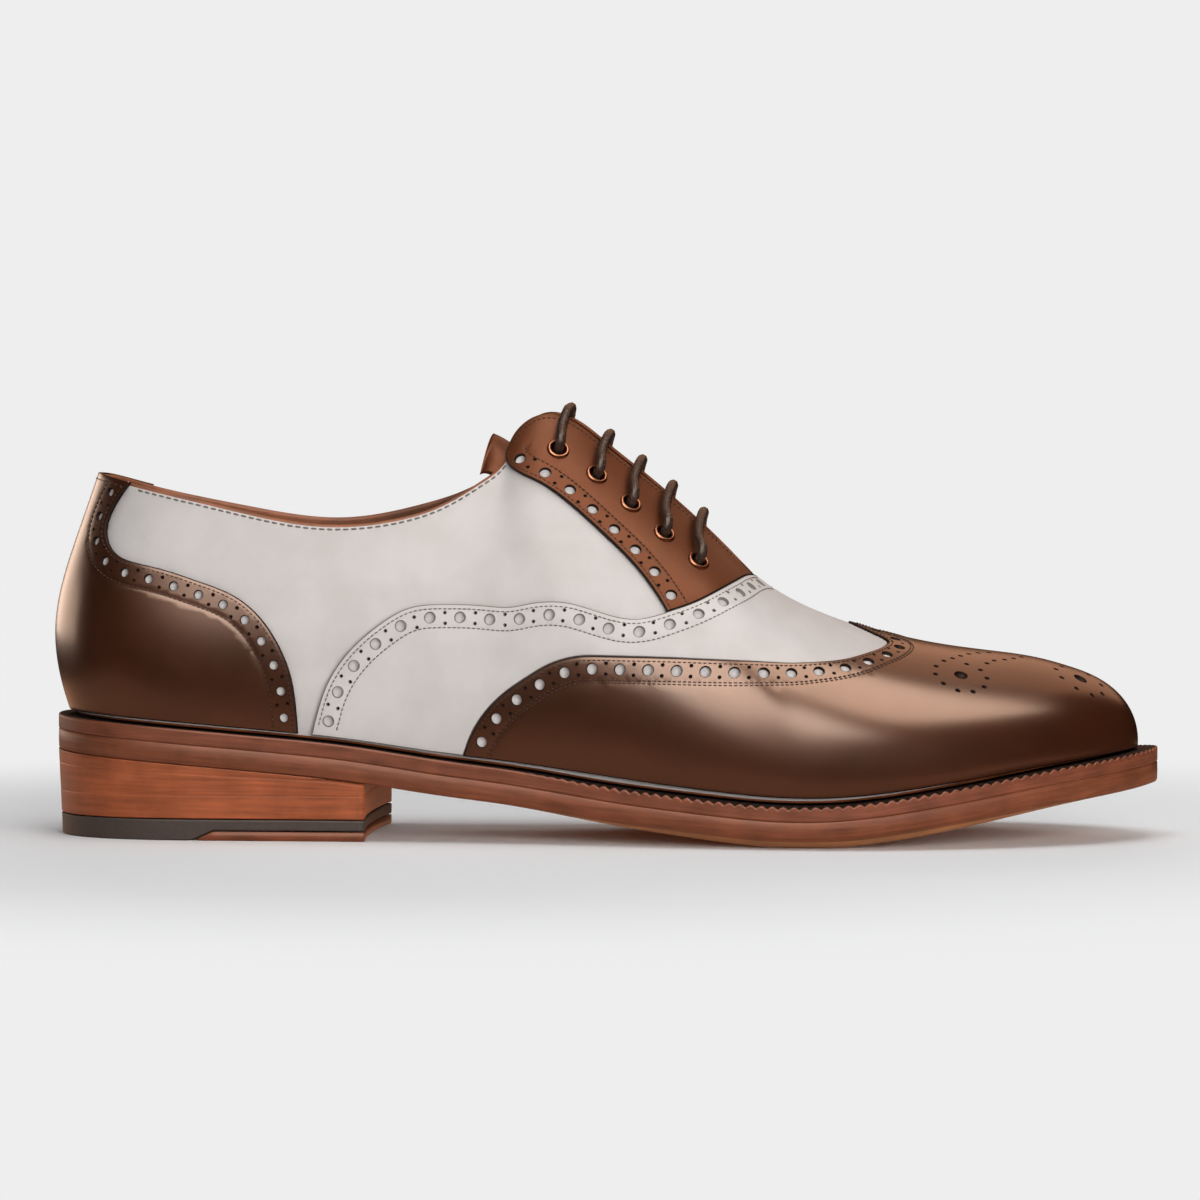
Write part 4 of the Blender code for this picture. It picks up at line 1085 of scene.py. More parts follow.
def finish(name):
    """A finish by its short name, made once."""
    if name not in FINISHES:
        c = bpy.context.scene.shoe_colours
        makers = {
            "white": white_calf,
            "brown": brown_calf,
            "plain": plain_calf,
            "ink_and_painted_shade": edge_ink_and_painted_shade,
            "raw_edge": raw_edge,
            "underlay": underlay_calf,
            "lining": lining_calf,
            "rubber": moulded_rubber,
            "brass": enamelled_brass,
            "cotton": waxed_cotton,
            "dark_thread": lambda: thread("brown_linen_thread", c.thread_dark),
            "light_thread": lambda: thread("white_linen_thread", c.thread_light),
            "welt": lambda: dressed_edge("dressed_welt_leather", c.welt, 0.8, 0.45),
            "sole": lambda: dressed_edge("dressed_sole_edge", c.sole, 0.9),
            "heel": lambda: dressed_edge("dressed_heel_lifts", c.heel, 1.4),
            "tread": lambda: dressed_edge("rolled_sole_leather", c.tread, 6.0, 0.55, 0.0),
        }
        FINISHES[name] = makers[name]()
    return FINISHES[name]


def edge_line(rows):
    """A leather's cut edge from its table, from the foot to the top line or the ridge."""
    return between(smooth_line(rows, LINE_SPACING), FOOT_MARGIN, 1)


def facing_line():
    """The facing's rear edge, from the collar down to the vamp."""
    line = smooth_line(FACING_LINE, LINE_SPACING)
    line[0, 1] = 1
    return line


EYELET_RING = EYELET_BARREL_RADIUS + 0.12 * MM


def eyelet_holes():
    """Holes that go through for the outer side's eyelets."""
    return [(ring_about(place, EYELET_RING + HOLE_RIM, 20), None, 1) for place in EYELETS]


class SHOE_OT_quarters(bpy.types.Operator):
    """The hollow upper: white calf outside, tan lining inside, folded at the collar"""

    bl_idname = "shoe.quarters"
    bl_label = "Quarters and lining"

    def execute(self, context):
        near_tip = 0.97
        clear = 0.05
        foot = run_at(0.0, -TOE, TOE, OUTLINE_SPACING)
        tip = np.stack([np.full(20, float(TOE)), np.linspace(0, near_tip, 20)], 1)
        top = run_at(1.0, RIDGE_END, -RIDGE_END, OUTLINE_SPACING)
        throat = np.array([(THROAT_STATION, 1.0)])
        ahead = top[top[:, 0] > THROAT_STATION + clear]
        open_top = top[np.abs(top[:, 0]) < THROAT_STATION - clear]
        outer = (foot[:-1], tip, ahead, throat)
        inner = (past_seam(throat), past_seam(ahead), past_seam(tip))
        outline = closed_outline(*outer, open_top, *inner)
        holes = eyelet_holes()
        panels = [(outline, holes + flip_past_seam(holes), [])]
        finishes = [finish("white"), finish("lining"), finish("lining")]
        folded_edge = 0.9 * MM
        made = leather("quarters", panels, -WALL, 0.0, finishes, folded_edge, both=True)
        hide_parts("upper")
        return {"FINISHED"}


class SHOE_OT_wing_cap(bpy.types.Operator):
    """The brown wing-tip toe cap, punched along its edge and on the toe"""

    bl_idname = "shoe.wing_cap"
    bl_label = "Wing cap"

    def execute(self, context):
        wing = edge_line(WING_LINE)
        ridge = run_at(1.0, wing[-1, 0], RIDGE_END, OUTLINE_SPACING)
        foot = run_at(FOOT_MARGIN, LOOP - wing[0, 0], wing[0, 0], OUTLINE_SPACING)
        runs = (wing, foot, mirrored(wing), mirrored(ridge), ridge)
        outline = closed_outline(*(run[::-1] for run in runs))
        holes = punch(wing, -3.4 * MM, 7.6 * MM)
        dots = medallion()
        holes = holes + flip(holes) + dots + flip(dots)
        ridges = seam_ridges(trimmed(shift_line(wing, -WING_GROOVE)), 0.12 * MM)
        panels = [(outline, holes, ridges + flip_ridges(ridges))]
        finishes = [finish(name) for name in ("brown", "ink_and_painted_shade", "ink_and_painted_shade", "underlay", "ink_and_painted_shade")]
        high = OVERLAY_GAP + CAP_THICKNESS
        made = leather("wing_cap_leather", panels, OVERLAY_GAP, high, finishes, CUT_EDGE)
        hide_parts("wing_cap")
        return {"FINISHED"}


ROSETTES = (
    # station, girth, radius, first angle, last angle, dots
    (12.07, 0.555, 7.2 * MM, 150, 425, 9),
    (14.10, 0.650, 6.9 * MM, 110, 400, 8),
)
DOT_ROWS = (
    # dots, and the stations and girths of the line they stand on
    (6, ((11.97, 0.67), (12.15, 0.72), (12.33, 0.775), (12.55, 0.835), (12.83, 0.89), (13.1, 0.945))),
    (5, ((12.56, 0.695), (12.78, 0.755), (13.02, 0.79), (13.35, 0.87), (13.67, 0.915))),
)
DOT_RADIUS = 0.68 * MM
DOT_PITCH = 3.6 * MM
DOT_DEPTH = 0.9 * MM


def medallion():
    """Half of the toe's punched ram's-horn pattern: two rosettes and two curved rows of dots."""
    sizes = bpy.context.scene.shoe_sizes
    holes = []
    dots = []
    for station, girth, radius, first, last, count in ROSETTES:
        centre = (station, girth)
        # The rosette's centre hole stops on a floor of finish 1, a near-black painted shade.
        holes.append((ring_about(centre, sizes.hole * 0.6 + HOLE_RIM, HOLE_STEPS), 0.8 * MM, 1))
        circle = ring_about(centre, radius, 360)
        dots += [circle[int(angle) % 360] for angle in np.linspace(first, last, count)]
    for count, rows in DOT_ROWS:
        dots += list(walk(smooth_line(rows, 1 * MM), DOT_PITCH, 0.0)[:count])
    # Each dot stops on a floor of finish 4, a near-black painted shade.
    holes += [(ring_about(dot, DOT_RADIUS + 0.5 * HOLE_RIM, 10), DOT_DEPTH, 4) for dot in dots]
    return holes


class SHOE_OT_vamp(bpy.types.Operator):
    """The white vamp between the wing cap and the quarters, punched along its edge"""

    bl_idname = "shoe.vamp"
    bl_label = "Vamp"

    def execute(self, context):
        front = between(shift_line(smooth_line(WING_LINE, LINE_SPACING), SEAM_GAP), FOOT_MARGIN, 1)
        back = edge_line(VAMP_LINE)
        ridge = run_at(1.0, back[-1, 0], front[-1, 0], OUTLINE_SPACING)
        foot = run_at(FOOT_MARGIN, front[0, 0], back[0, 0], OUTLINE_SPACING)
        outline = closed_outline(back[::-1], foot[::-1], front, ridge[::-1])
        holes = punch(back, -3.6 * MM, 8.2 * MM)
        ridges = []
        for distance in VAMP_SEAMS:
            ridges += seam_ridges(trimmed(shift_line(back, -distance), *VAMP_SEAM_REACH), 0.15 * MM)
        panels = [(outline, holes, ridges), (mirrored(outline), flip(holes), flip_ridges(ridges))]
        finishes = [finish(name) for name in ("white", "raw_edge", "white", "underlay", "ink_and_painted_shade")]
        high = OVERLAY_GAP + OVERLAY_THICKNESS
        made = leather("vamp_leather", panels, OVERLAY_GAP, high, finishes, 0.3 * MM)
        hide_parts("vamp")
        return {"FINISHED"}


class SHOE_OT_counter(bpy.types.Operator):
    """The brown counter round the heel, punched along its edge"""

    bl_idname = "shoe.counter"
    bl_label = "Counter"

    def execute(self, context):
        edge = edge_line(COUNTER_LINE)
        other = past_seam(edge)
        foot = run_at(FOOT_MARGIN, other[-1, 0], edge[0, 0], OUTLINE_SPACING)
        collar = run_at(1.0, edge[-1, 0], other[0, 0], OUTLINE_SPACING)
        outline = closed_outline(edge, collar, other, foot)
        holes = punch(edge, 3.5 * MM, 7.1 * MM, size=0.82)
        holes += flip_past_seam(holes)
        ridges = seam_ridges(trimmed(shift_line(edge, COUNTER_SEAM)), 0.12 * MM)
        ridges += [(line * (-1, 1), height) for line, height in ridges]
        finishes = [finish(name) for name in ("brown", "ink_and_painted_shade", "ink_and_painted_shade", "underlay", "ink_and_painted_shade")]
        high = OVERLAY_GAP + OVERLAY_THICKNESS
        panels = [(outline, holes, ridges)]
        made = leather("counter_leather", panels, OVERLAY_GAP, high, finishes, CUT_EDGE, top=0)
        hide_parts("counter")
        return {"FINISHED"}


class SHOE_OT_facings(bpy.types.Operator):
    """The two brown facings that carry the eyelets, punched along their rear edges"""

    bl_idname = "shoe.facings"
    bl_label = "Facings"

    def execute(self, context):
        rear = facing_line()
        lower = shift_line(smooth_line(VAMP_LINE, LINE_SPACING), SEAM_GAP)
        meet = np.argmin(np.linalg.norm((lower - rear[-1]) * SPREAD, axis=1))
        lower = lower[meet:]
        lower = lower[lower[:, 1] < 0.985]
        slit = run_at(1.0, THROAT_STATION - 0.12, rear[0, 0], 1.3 * MM)
        outline = closed_outline(rear[:-1], lower, slit)
        holes = punch(rear, 3.2 * MM, 8.1 * MM) + eyelet_holes()
        ridges = seam_ridges(trimmed(shift_line(rear, FACING_SEAM), *FACING_SEAM_REACH), 0.15 * MM)
        finishes = [finish(name) for name in ("plain", "ink_and_painted_shade", "ink_and_painted_shade", "underlay", "ink_and_painted_shade")]
        high = OVERLAY_GAP + OVERLAY_THICKNESS
        for side in ("outer", "inner"):
            if side == "inner":
                outline, holes, ridges = mirrored(outline), flip(holes), flip_ridges(ridges)
            panels = [(outline, holes, ridges)]
            made = leather(f"facing_{side}_leather", panels, OVERLAY_GAP, high, finishes, CUT_EDGE, top=0)
            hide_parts(f"facing_{side}")
        return {"FINISHED"}


def loft(shell, grid, kind, loop_rows=False, loop_columns=False, flip_faces=False):
    """Quads through a grid of points, rows by columns. Returns the grid of point numbers."""
    rows, columns = grid.shape[:2]
    index = (shell.add_points(grid) + np.arange(rows * columns)).reshape(rows, columns)
    after_row = np.roll(index, -1, axis=0) if loop_rows else index[1:]
    this_row = index if loop_rows else index[:-1]
    if loop_columns:
        a, b = this_row, np.roll(this_row, -1, axis=1)
        d, c = after_row, np.roll(after_row, -1, axis=1)
    else:
        a, b = this_row[:, :-1], this_row[:, 1:]
        d, c = after_row[:, :-1], after_row[:, 1:]
    faces = np.stack([a.ravel(), b.ravel(), c.ravel(), d.ravel()], 1)
    shell.add_faces(faces[:, ::-1] if flip_faces else faces, kind)
    return index


def lay_strip_uv(made, along, across):
    """Texture coordinates in metres, one pair for each point of the mesh."""
    uv = made.data.uv_layers.new(name="strip")
    corner = np.zeros(len(made.data.loops), int)
    made.data.loops.foreach_get("vertex_index", corner)
    uv.data.foreach_set("uv", np.stack([along[corner], across[corner]], 1).ravel())


def bottom_stations(count):
    """Stations round the sole at even distances along its edge, and the edge's length."""
    stations = np.linspace(0, LOOP, 1201)
    edge = pick("sole", stations)
    run = run_lengths(edge)
    return np.interp(np.linspace(0, run[-1], count + 1)[:-1], run, stations), run[-1]


def plan_rows(stations, rows):
    """Rows of points round the sole: each row gives its inset from the edge and its height."""
    edge, out = sole_edge(stations)
    made = []
    for inset, height in rows:
        plan = edge - out * np.reshape(inset, (-1, 1))
        level = height(plan[:, 0]) if callable(height) else height
        made.append(np.column_stack([plan, level]))
    return np.array(made)


def strip_lengths(grid, length):
    """Distance round the sole and across the rows for each point of a grid."""
    rows, columns = grid.shape[:2]
    across = np.concatenate([[0], np.cumsum(np.linalg.norm(np.diff(grid, axis=0), axis=2).mean(1))])
    along = np.linspace(0, length, columns, endpoint=False)
    return np.tile(along, rows), np.repeat(across, columns)


def sole_spine(stations):
    """A point of the sole's middle line for each station, short of the heel's back and the toe."""
    outer = pick("sole", side_station(stations))
    inner = pick("sole", LOOP - side_station(stations))
    middle = 0.5 * (outer + inner)
    share = (middle[:, 0] + HEEL_CENTRE) / SOLE_LENGTH
    middle[:, 0] = (0.105 + 0.79 * share) * SOLE_LENGTH - HEEL_CENTRE
    return middle


class SHOE_OT_welt(bpy.types.Operator):
    """The welt, its top wheeled and stitched round the forefoot"""

    bl_idname = "shoe.welt"
    bl_label = "Welt"

    def execute(self, context):
        stations, length = bottom_stations(2400)
        ledge = pick("shape", stations)[:, 0]
        run = np.arange(len(stations)) / len(stations) * length
        side = side_station(stations)
        wheeled_from, wheeled_blend = 6.3, 1.2
        wheeled = np.clip((side - wheeled_from) / wheeled_blend, 0, 1)
        turns = np.round(length / context.scene.shoe_sizes.welt_pitch)
        wave = 0.5 + 0.5 * np.cos(2 * np.pi * turns * run / length)
        notch = 0.75 * MM * wheeled * (1 - wave**0.6)
        bead = 0.35 * MM

        def low(x):
            return sole_line(x) + OUTSOLE_THICKNESS

        def level(share):
            return lambda x: low(x) + share

        def top(drop):
            return lambda x: welt_top(x) - drop

        inner = ledge + WALL + WELT_UNDERLAP
        rows = [
            (inner, level(0.0)),
            (0.3 * bead, level(0.0)),
            (0.0, level(0.5 * bead)),
            (0.0, level(1.5 * bead)),
            (0.0, level(0.5 * WELT_THICKNESS)),
            (0.0, top(2.2 * bead + notch)),
            (0.0, top(1.3 * bead + notch)),
            (0.25 * bead, top(0.5 * bead + notch)),
            (0.8 * bead, top(0.1 * bead + notch)),
            (1.6 * bead, top(notch)),
            (ledge * 0.55, top(0.6 * notch)),
            (ledge * 0.8, top(0.0)),
            (inner, top(0.0)),
        ]
        grid = plan_rows(stations, rows)
        shell = Shell()
        loft(shell, grid, 0, loop_rows=True, loop_columns=True)
        kinds = np.zeros((len(rows), len(stations)), int)
        # The welt's top from inside its outer lip to the upper, and its inner wall, take the near-black
        # finish as painted shade of the crevice.
        kinds[-4:] = 1
        shell.kinds = kinds.ravel().tolist()
        made = shell.make("welt_leather_strip", [finish("welt"), finish("ink_and_painted_shade")])
        lay_strip_uv(made, *strip_lengths(grid, length))
        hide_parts("welt")
        return {"FINISHED"}


class SHOE_OT_outsole(bpy.types.Operator):
    """The leather outsole: dressed edge, crowned tread and the platform inside the welt"""

    bl_idname = "shoe.outsole"
    bl_label = "Outsole"

    def execute(self, context):
        length = bottom_stations(720)[1]
        stations = both_sides(361)
        whole, out = sole_edge(stations)
        spine = sole_spine(stations)
        inside = pick("shape", stations)[:, 0] + WALL + WELT_UNDERLAP + GAP
        bevel = 0.8 * MM

        def tread(plan):
            depth = np.linalg.norm(plan - whole, axis=1)
            line = LINE_SPLINE(plan[:, 0])
            near = (1 - np.minimum(depth / EDGE_ROUND, 1)) ** 2
            crown = np.clip(line[:, 1], 0, 1)
            return tread_height(plan[:, 0]) * (1 - near) + (line[:, 0] + EDGE_RISE * crown) * near

        tread_rows = []
        for share in (1, 0.8, 0.6, 0.42, 0.28, 0.18, 0.12, 0.07, 0.04, 0.02):
            plan = (whole - out * bevel) * (1 - share) + spine * share
            tread_rows.append(np.column_stack([plan, tread(plan)]))
        edge_low = tread(whole)
        edge_high = sole_line(whole[:, 0]) + OUTSOLE_THICKNESS
        edge_rows = []
        for inset, share, shift in (
            (0.45 * bevel, 0, 0.25 * bevel),
            (0.08 * bevel, 0, 0.75 * bevel),
            (-0.02 * MM, 0.5, 0.0),
            (0.05 * bevel, 1, -0.6 * bevel),
            (0.35 * bevel, 1, -0.12 * bevel),
            (0.7 * bevel, 1, 0.0),
        ):
            level = edge_low * (1 - share) + edge_high * share + shift
            edge_rows.append(np.column_stack([whole - out * inset, level]))
        plan = whole - out * inside[:, None]
        top_rows = [np.column_stack([plan, edge_high]), np.column_stack([plan, welt_top(plan[:, 0])])]
        for share in (0.3, 0.65, 1):
            plan_in = plan * (1 - share) + spine * share
            top_rows.append(np.column_stack([plan_in, welt_top(plan_in[:, 0])]))
        shell = Shell()
        grid = np.array(tread_rows + edge_rows + top_rows)
        loft(shell, grid, 0, loop_columns=True)
        edge_first = len(tread_rows) - 1
        kinds = np.array(shell.kinds).reshape(-1, len(stations))
        kinds[edge_first : edge_first + len(edge_rows)] = 1
        shell.kinds = kinds.ravel().tolist()
        made = shell.make("outsole_leather", [finish("tread"), finish("sole")])
        lay_strip_uv(made, *strip_lengths(grid, length))
        weld_middle(made)
        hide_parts("outsole")
        return {"FINISHED"}


def weld_middle(made):
    """Welds the points that two sides share along a middle line."""
    built = bmesh.new()
    built.from_mesh(made.data)
    bmesh.ops.remove_doubles(built, verts=built.verts, dist=0.004 * MM)
    bmesh.ops.dissolve_degenerate(built, edges=built.edges, dist=0.002 * MM)
    built.to_mesh(made.data)
    built.free()


class SHOE_OT_insole(bpy.types.Operator):
    """The insole with its sock leather"""

    bl_idname = "shoe.insole"
    bl_label = "Insole"

    def execute(self, context):
        stations = both_sides(181)
        inset = pick("shape", stations)[:, 0] + WALL + 2 * GAP
        whole, out = sole_edge(stations)
        spine = sole_spine(stations)
        round_off = 0.5 * MM
        grid = []
        for share, extra, high, drop in (
            (1, 0, False, 0),
            (0, round_off, False, 0),
            (0, 0, False, -round_off),
            (0, 0, True, round_off),
            (0, 0.3 * round_off, True, 0.3 * round_off),
            (0, round_off, True, 0),
            (0.1, 0, True, 0),
            (0.4, 0, True, 0),
            (0.7, 0, True, 0),
            (1, 0, True, 0),
        ):
            plan = (whole - out * (inset + extra)[:, None]) * (1 - share) + spine * share
            level = welt_top(plan[:, 0]) + GAP + (INSOLE_THICKNESS if high else 0) - drop
            grid.append(np.column_stack([plan, level]))
        shell = Shell()
        loft(shell, np.array(grid), 0, loop_columns=True)
        made = shell.make("insole_sock", [finish("lining")])
        weld_middle(made)
        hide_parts("insole")
        return {"FINISHED"}


def station_at(distance):
    """The outer station whose sole edge is this far from the heel's back."""
    low, high = 0.0, float(TOE)
    for _ in range(50):
        middle = 0.5 * (low + high)
        if pick("sole", middle)[0] + HEEL_CENTRE < distance:
            low = middle
        else:
            high = middle
    return 0.5 * (low + high)


def heel_loop(start, inset, level):
    """A loop round the heel from a station to the breast and back, at the height that level gives."""
    breast = station_at(HEEL_BREAST)
    stations = np.linspace(start, breast, 70)
    inner = LOOP - stations[::-1]
    outer_plan, out = sole_edge(stations)
    inner_plan, inner_out = sole_edge(np.mod(inner, LOOP))
    taper = HEEL_TAPER * (1 - level(outer_plan[:, 0]) / SEAT_RISE)
    outer_plan = outer_plan - out * (inset + taper)[:, None]
    inner_plan = inner_plan - inner_out * (inset + taper[::-1])[:, None]
    outer_plan[-1, 0] -= inset
    inner_plan[0, 0] -= inset
    t = np.linspace(0, 1, 26)[1:-1, None]
    front = outer_plan[-1] * (1 - t) + inner_plan[0] * t
    front[:, 0] -= (HEEL_BREAST_HOLLOW * (1 - (2 * t - 1) ** 2))[:, 0]
    if start > 0:
        across = inner_plan[-1] * (1 - t[1::3]) + outer_plan[0] * t[1::3]
        inner_plan = np.concatenate([inner_plan, across])
    else:
        inner_plan = inner_plan[:-1]
    plan = np.concatenate([outer_plan, front, inner_plan])
    return np.column_stack([plan, level(plan[:, 0])])


def heel_layer(name, start, levels, finish_name, node):
    """A closed layer of the heel from loops, each with its inset and its height, from the bottom up."""
    grid = np.array([heel_loop(start, inset, level) for inset, level in levels])
    shell = Shell()
    shell.cap_ends(loft(shell, grid, 0, loop_columns=True))
    made = shell.make(name, [finish(finish_name)])
    run = np.linalg.norm(np.diff(grid[0], axis=0, append=grid[0][:1]), axis=1)
    along = np.concatenate([[0], np.cumsum(run)[:-1]])
    rise = grid[:, 0, 2]
    lay_strip_uv(made, np.tile(along, len(grid)), np.repeat(rise, len(along)))
    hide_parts(node)


class SHOE_OT_heel(bpy.types.Operator):
    """The stacked heel with its lifts, rubber top piece and leather front strip"""

    bl_idname = "shoe.heel"
    bl_label = "Heel"

    def execute(self, context):
        small = 0.25 * MM
        groove = 0.24 * MM
        hold = 2.4 * groove
        base_back = 19.9 * MM
        base_front = 15.9 * MM
        middle = 12.3 * MM

        def seat(x):
            return sole_line(x) - 0.02 * MM

        def flat(height):
            return lambda x: np.full(len(x), height)

        def base(shift):
            def at(x):
                share = np.clip((x + HEEL_CENTRE) / HEEL_BREAST, 0, 1)
                return np.minimum(base_back + (base_front - base_back) * share, seat(x) - 0.6 * MM) + shift

            return at

        low = TOP_PIECE_THICKNESS + GAP
        levels = [(small, flat(low)), (0.0, flat(low + small)), (0.0, flat(low + 2 * small))]
        for height in (flat, base):
            at = middle if height is flat else 0.0
            steps = ((-hold, 0.0), (-groove, 0.0), (0.0, 0.5 * groove), (groove, 0.0), (hold, 0.0))
            levels += [(inset, height(at + step)) for step, inset in steps]
        levels += [(0.0, lambda x: seat(x) - 0.3 * MM), (0.0, lambda x: seat(x) - 0.1 * MM)]
        levels.append((0.06 * MM, seat))
        heel_layer("heel_lifts", 0.0, levels, "heel", "heel_stack")

        def slanted(share_from, rise):
            def at(x):
                share = np.clip((x + HEEL_CENTRE - TIP_START) / TIP_SLANT, 0, 1)
                return np.maximum(share * (TIP_THICKNESS + GAP) + share_from, 0) + rise

            return at

        top = TOP_PIECE_THICKNESS
        levels = [(small, slanted(0.0, 0.0)), (0.0, slanted(0.0, small)), (0.0, slanted(0.0, 2 * small))]
        levels += [(0.0, flat(top - 2 * small)), (0.0, flat(top - small)), (small, flat(top))]
        heel_layer("heel_rubber_piece", 0.0, levels, "rubber", "heel_rubber")
        start = station_at(TIP_START + 0.3 * TIP_SLANT)
        levels = [(small, flat(0.0)), (0.0, flat(small))]
        levels += [(0.0, slanted(-GAP, -small / 4)), (small, slanted(-GAP, 0.0))]
        heel_layer("heel_front_strip", start, levels, "sole", "heel_tip")
        return {"FINISHED"}


TONGUE_SECTIONS = (
    # x, height, half_width, arch, as shares of SOLE_LENGTH, TOP_HEIGHT and BALL_WIDTH, from root to top
    (0.680, 0.480, 0.175, 0.090),
    (0.634, 0.568, 0.180, 0.105),
    (0.588, 0.660, 0.185, 0.115),
    (0.538, 0.745, 0.190, 0.120),
    (0.488, 0.815, 0.172, 0.118),
    (0.442, 0.884, 0.150, 0.108),
    (0.400, 0.958, 0.126, 0.090),
)


class SHOE_OT_tongue(bpy.types.Operator):
    """The arched tongue below the facings"""

    bl_idname = "shoe.tongue"
    bl_label = "Tongue"

    def execute(self, context):
        rows = np.array(TONGUE_SECTIONS) * (SOLE_LENGTH, TOP_HEIGHT, BALL_WIDTH, BALL_WIDTH)
        rows[:, 0] -= HEEL_CENTRE
        run = np.concatenate([[0], np.cumsum(np.hypot(*np.diff(rows[:, :2], axis=0).T))])
        dense = spline(run, rows)(np.linspace(0, run[-1], 70))
        tangent = unit(np.gradient(dense[:, :2], axis=0))
        normal = np.stack([tangent[:, 1], -tangent[:, 0]], 1)
        top_round = 6
        ends = np.ones(len(dense))
        ends[-top_round:] = np.sqrt(1 - (np.arange(top_round) / (top_round - 0.7)) ** 2)
        count = 41
        angles = np.radians(np.linspace(-80, 80, count))
        bow, lean_back, lean_length = 0.45, 5 * MM, 9 * MM
        shares = np.clip((np.linspace(0, run[-1], len(dense)) - run[-1]) / lean_length + 1, 0, 1) ** 2
        half = 0.5 * TONGUE_THICKNESS
        grid = []
        for (x, z, width, arch), (nx, nz), end, share in zip(dense, normal, ends, shares):
            drop = arch * (1 - np.cos(angles)) * (1 + bow * share)
            back = lean_back * share * (1 - np.cos(angles))
            across = width * np.sin(angles)
            line = np.stack([x - nx * drop + nz * back, across, z - nz * drop - nx * back], 1)
            cross = np.gradient(line, axis=0)
            along = np.array([-nz, 0, nx])
            out = unit(np.cross(along, cross))
            if out[count // 2] @ np.array([nx, 0, nz]) < 0:
                out = -out
            middle = line - out * half
            thick = half * end
            side = unit(cross)

            def rim(k, way, degrees):
                turns = np.radians(degrees)[:, None]
                aside = way * side[k] * thick * np.sin(turns) * 0.9
                return middle[k] + out[k] * thick * np.cos(turns) + aside

            ring = [middle + out * thick, rim(-1, 1, (45, 90, 135))]
            ring += [(middle - out * thick)[::-1], rim(0, -1, (135, 90, 45))]
            grid.append(np.concatenate(ring))
        grid = np.array(grid)
        shell = Shell()
        index = loft(shell, grid, 0, loop_columns=True, flip_faces=True)
        for row, turn in ((index[0], False), (index[-1], True)):
            upper = row[:count]
            lower = row[count + 3 : 2 * count + 3][::-1]
            quads = np.stack([upper[:-1], upper[1:], lower[1:], lower[:-1]], 1)
            shell.add_faces(quads if turn else quads[:, ::-1], 0)
            left = (upper[-1], *row[count : count + 3], lower[-1])
            right = (lower[0], *row[2 * count + 3 :], upper[0])
            for corners in (left, right):
                shell.add_faces([corners if turn else corners[::-1]], 0)
        made = shell.make("tongue_leather", [finish("plain")])
        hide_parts("tongue")
        return {"FINISHED"}


class SHOE_OT_eyelets(bpy.types.Operator):
    """The ten pressed eyelets"""

    bl_idname = "shoe.eyelets"
    bl_label = "Eyelets"

    def execute(self, context):
        sizes = context.scene.shoe_sizes
        face = OVERLAY_GAP + OVERLAY_THICKNESS
        inner = EYELET_BARREL_RADIUS - EYELET_WALL
        flange = EYELET_FLANGE_RADIUS
        middle = 0.5 * (inner + flange)
        half = 0.5 * (flange - inner)
        high = EYELET_FLANGE_THICKNESS + 0.15 * MM
        foot = -WALL - GAP
        seat = face - 0.1 * MM
        profile = [(inner, foot), (EYELET_BARREL_RADIUS, foot), (EYELET_BARREL_RADIUS, seat), (flange, seat)]
        for angle in np.radians(np.linspace(8, 172, 9)):
            profile.append((middle + half * np.cos(angle), face + high * np.sin(angle)))
        profile.append((inner, face - 0.4 * MM))
        turns = np.arange(sizes.eyelet_steps) * 2 * np.pi / sizes.eyelet_steps
        for i, (station, girth) in enumerate(EYELETS):
            for side, where in (("outer", station), ("inner", LOOP - station)):
                centre = last_form(where, girth)
                out = last_normal(where, girth)
                turn = Vector(out.tolist()).to_track_quat("Z", "Y").to_matrix()
                across, up, out = (np.array(turn.col[k]) for k in range(3))
                ring = turned(turns, across, up)
                grid = np.array([centre + ring * radius + out * height for radius, height in profile])
                shell = Shell()
                loft(shell, grid, 0, loop_rows=True, loop_columns=True)
                made = shell.make(f"eyelet_ring_{side}_{i + 1}", [finish("brass")])
                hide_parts(f"eyelet_{side}_{i + 1}")
        return {"FINISHED"}


LACE_PATH = (
    # run from the eyelet towards the slit, lift above the upper's base surface
    (0.00 * MM, -4.0 * MM),
    (0.00 * MM, -1.5 * MM),
    (0.00 * MM, 1.2 * MM),
    (0.00 * MM, 2.3 * MM),
    (0.20 * MM, 3.5 * MM),
    (0.90 * MM, 4.4 * MM),
    (2.50 * MM, 4.7 * MM),
    (5.20 * MM, 4.2 * MM),
)


def lace_points(station, girth, count):
    """The middle line of a bar of lace, from inside its outer eyelet over the slit to its inner one."""
    edge_lift_mm, crown_lift = 3.9, 0.2 * MM
    sides = []
    for where in (station, LOOP - station):
        edge = last_form(where, 1.0)
        middle = last_form(where, girth)
        length = float(np.linalg.norm(edge - middle))
        out = last_normal(where, girth)
        half = []
        for run, lift in LACE_PATH:
            here = min(girth + (1 - girth) * run / length, 1)
            half.append(last_form(where, here) + out * lift)
        half.append(edge + last_normal(where, 0.995) * edge_lift_mm * MM)
        sides.append(half)
    outer, inner = sides
    crown = 0.5 * (outer[-1] + inner[-1])
    crown[2] += crown_lift
    rows = np.array(outer + [crown] + inner[::-1])
    run = run_lengths(rows)
    return spline(run, rows)(np.linspace(0, run[-1], count)), run[-1]


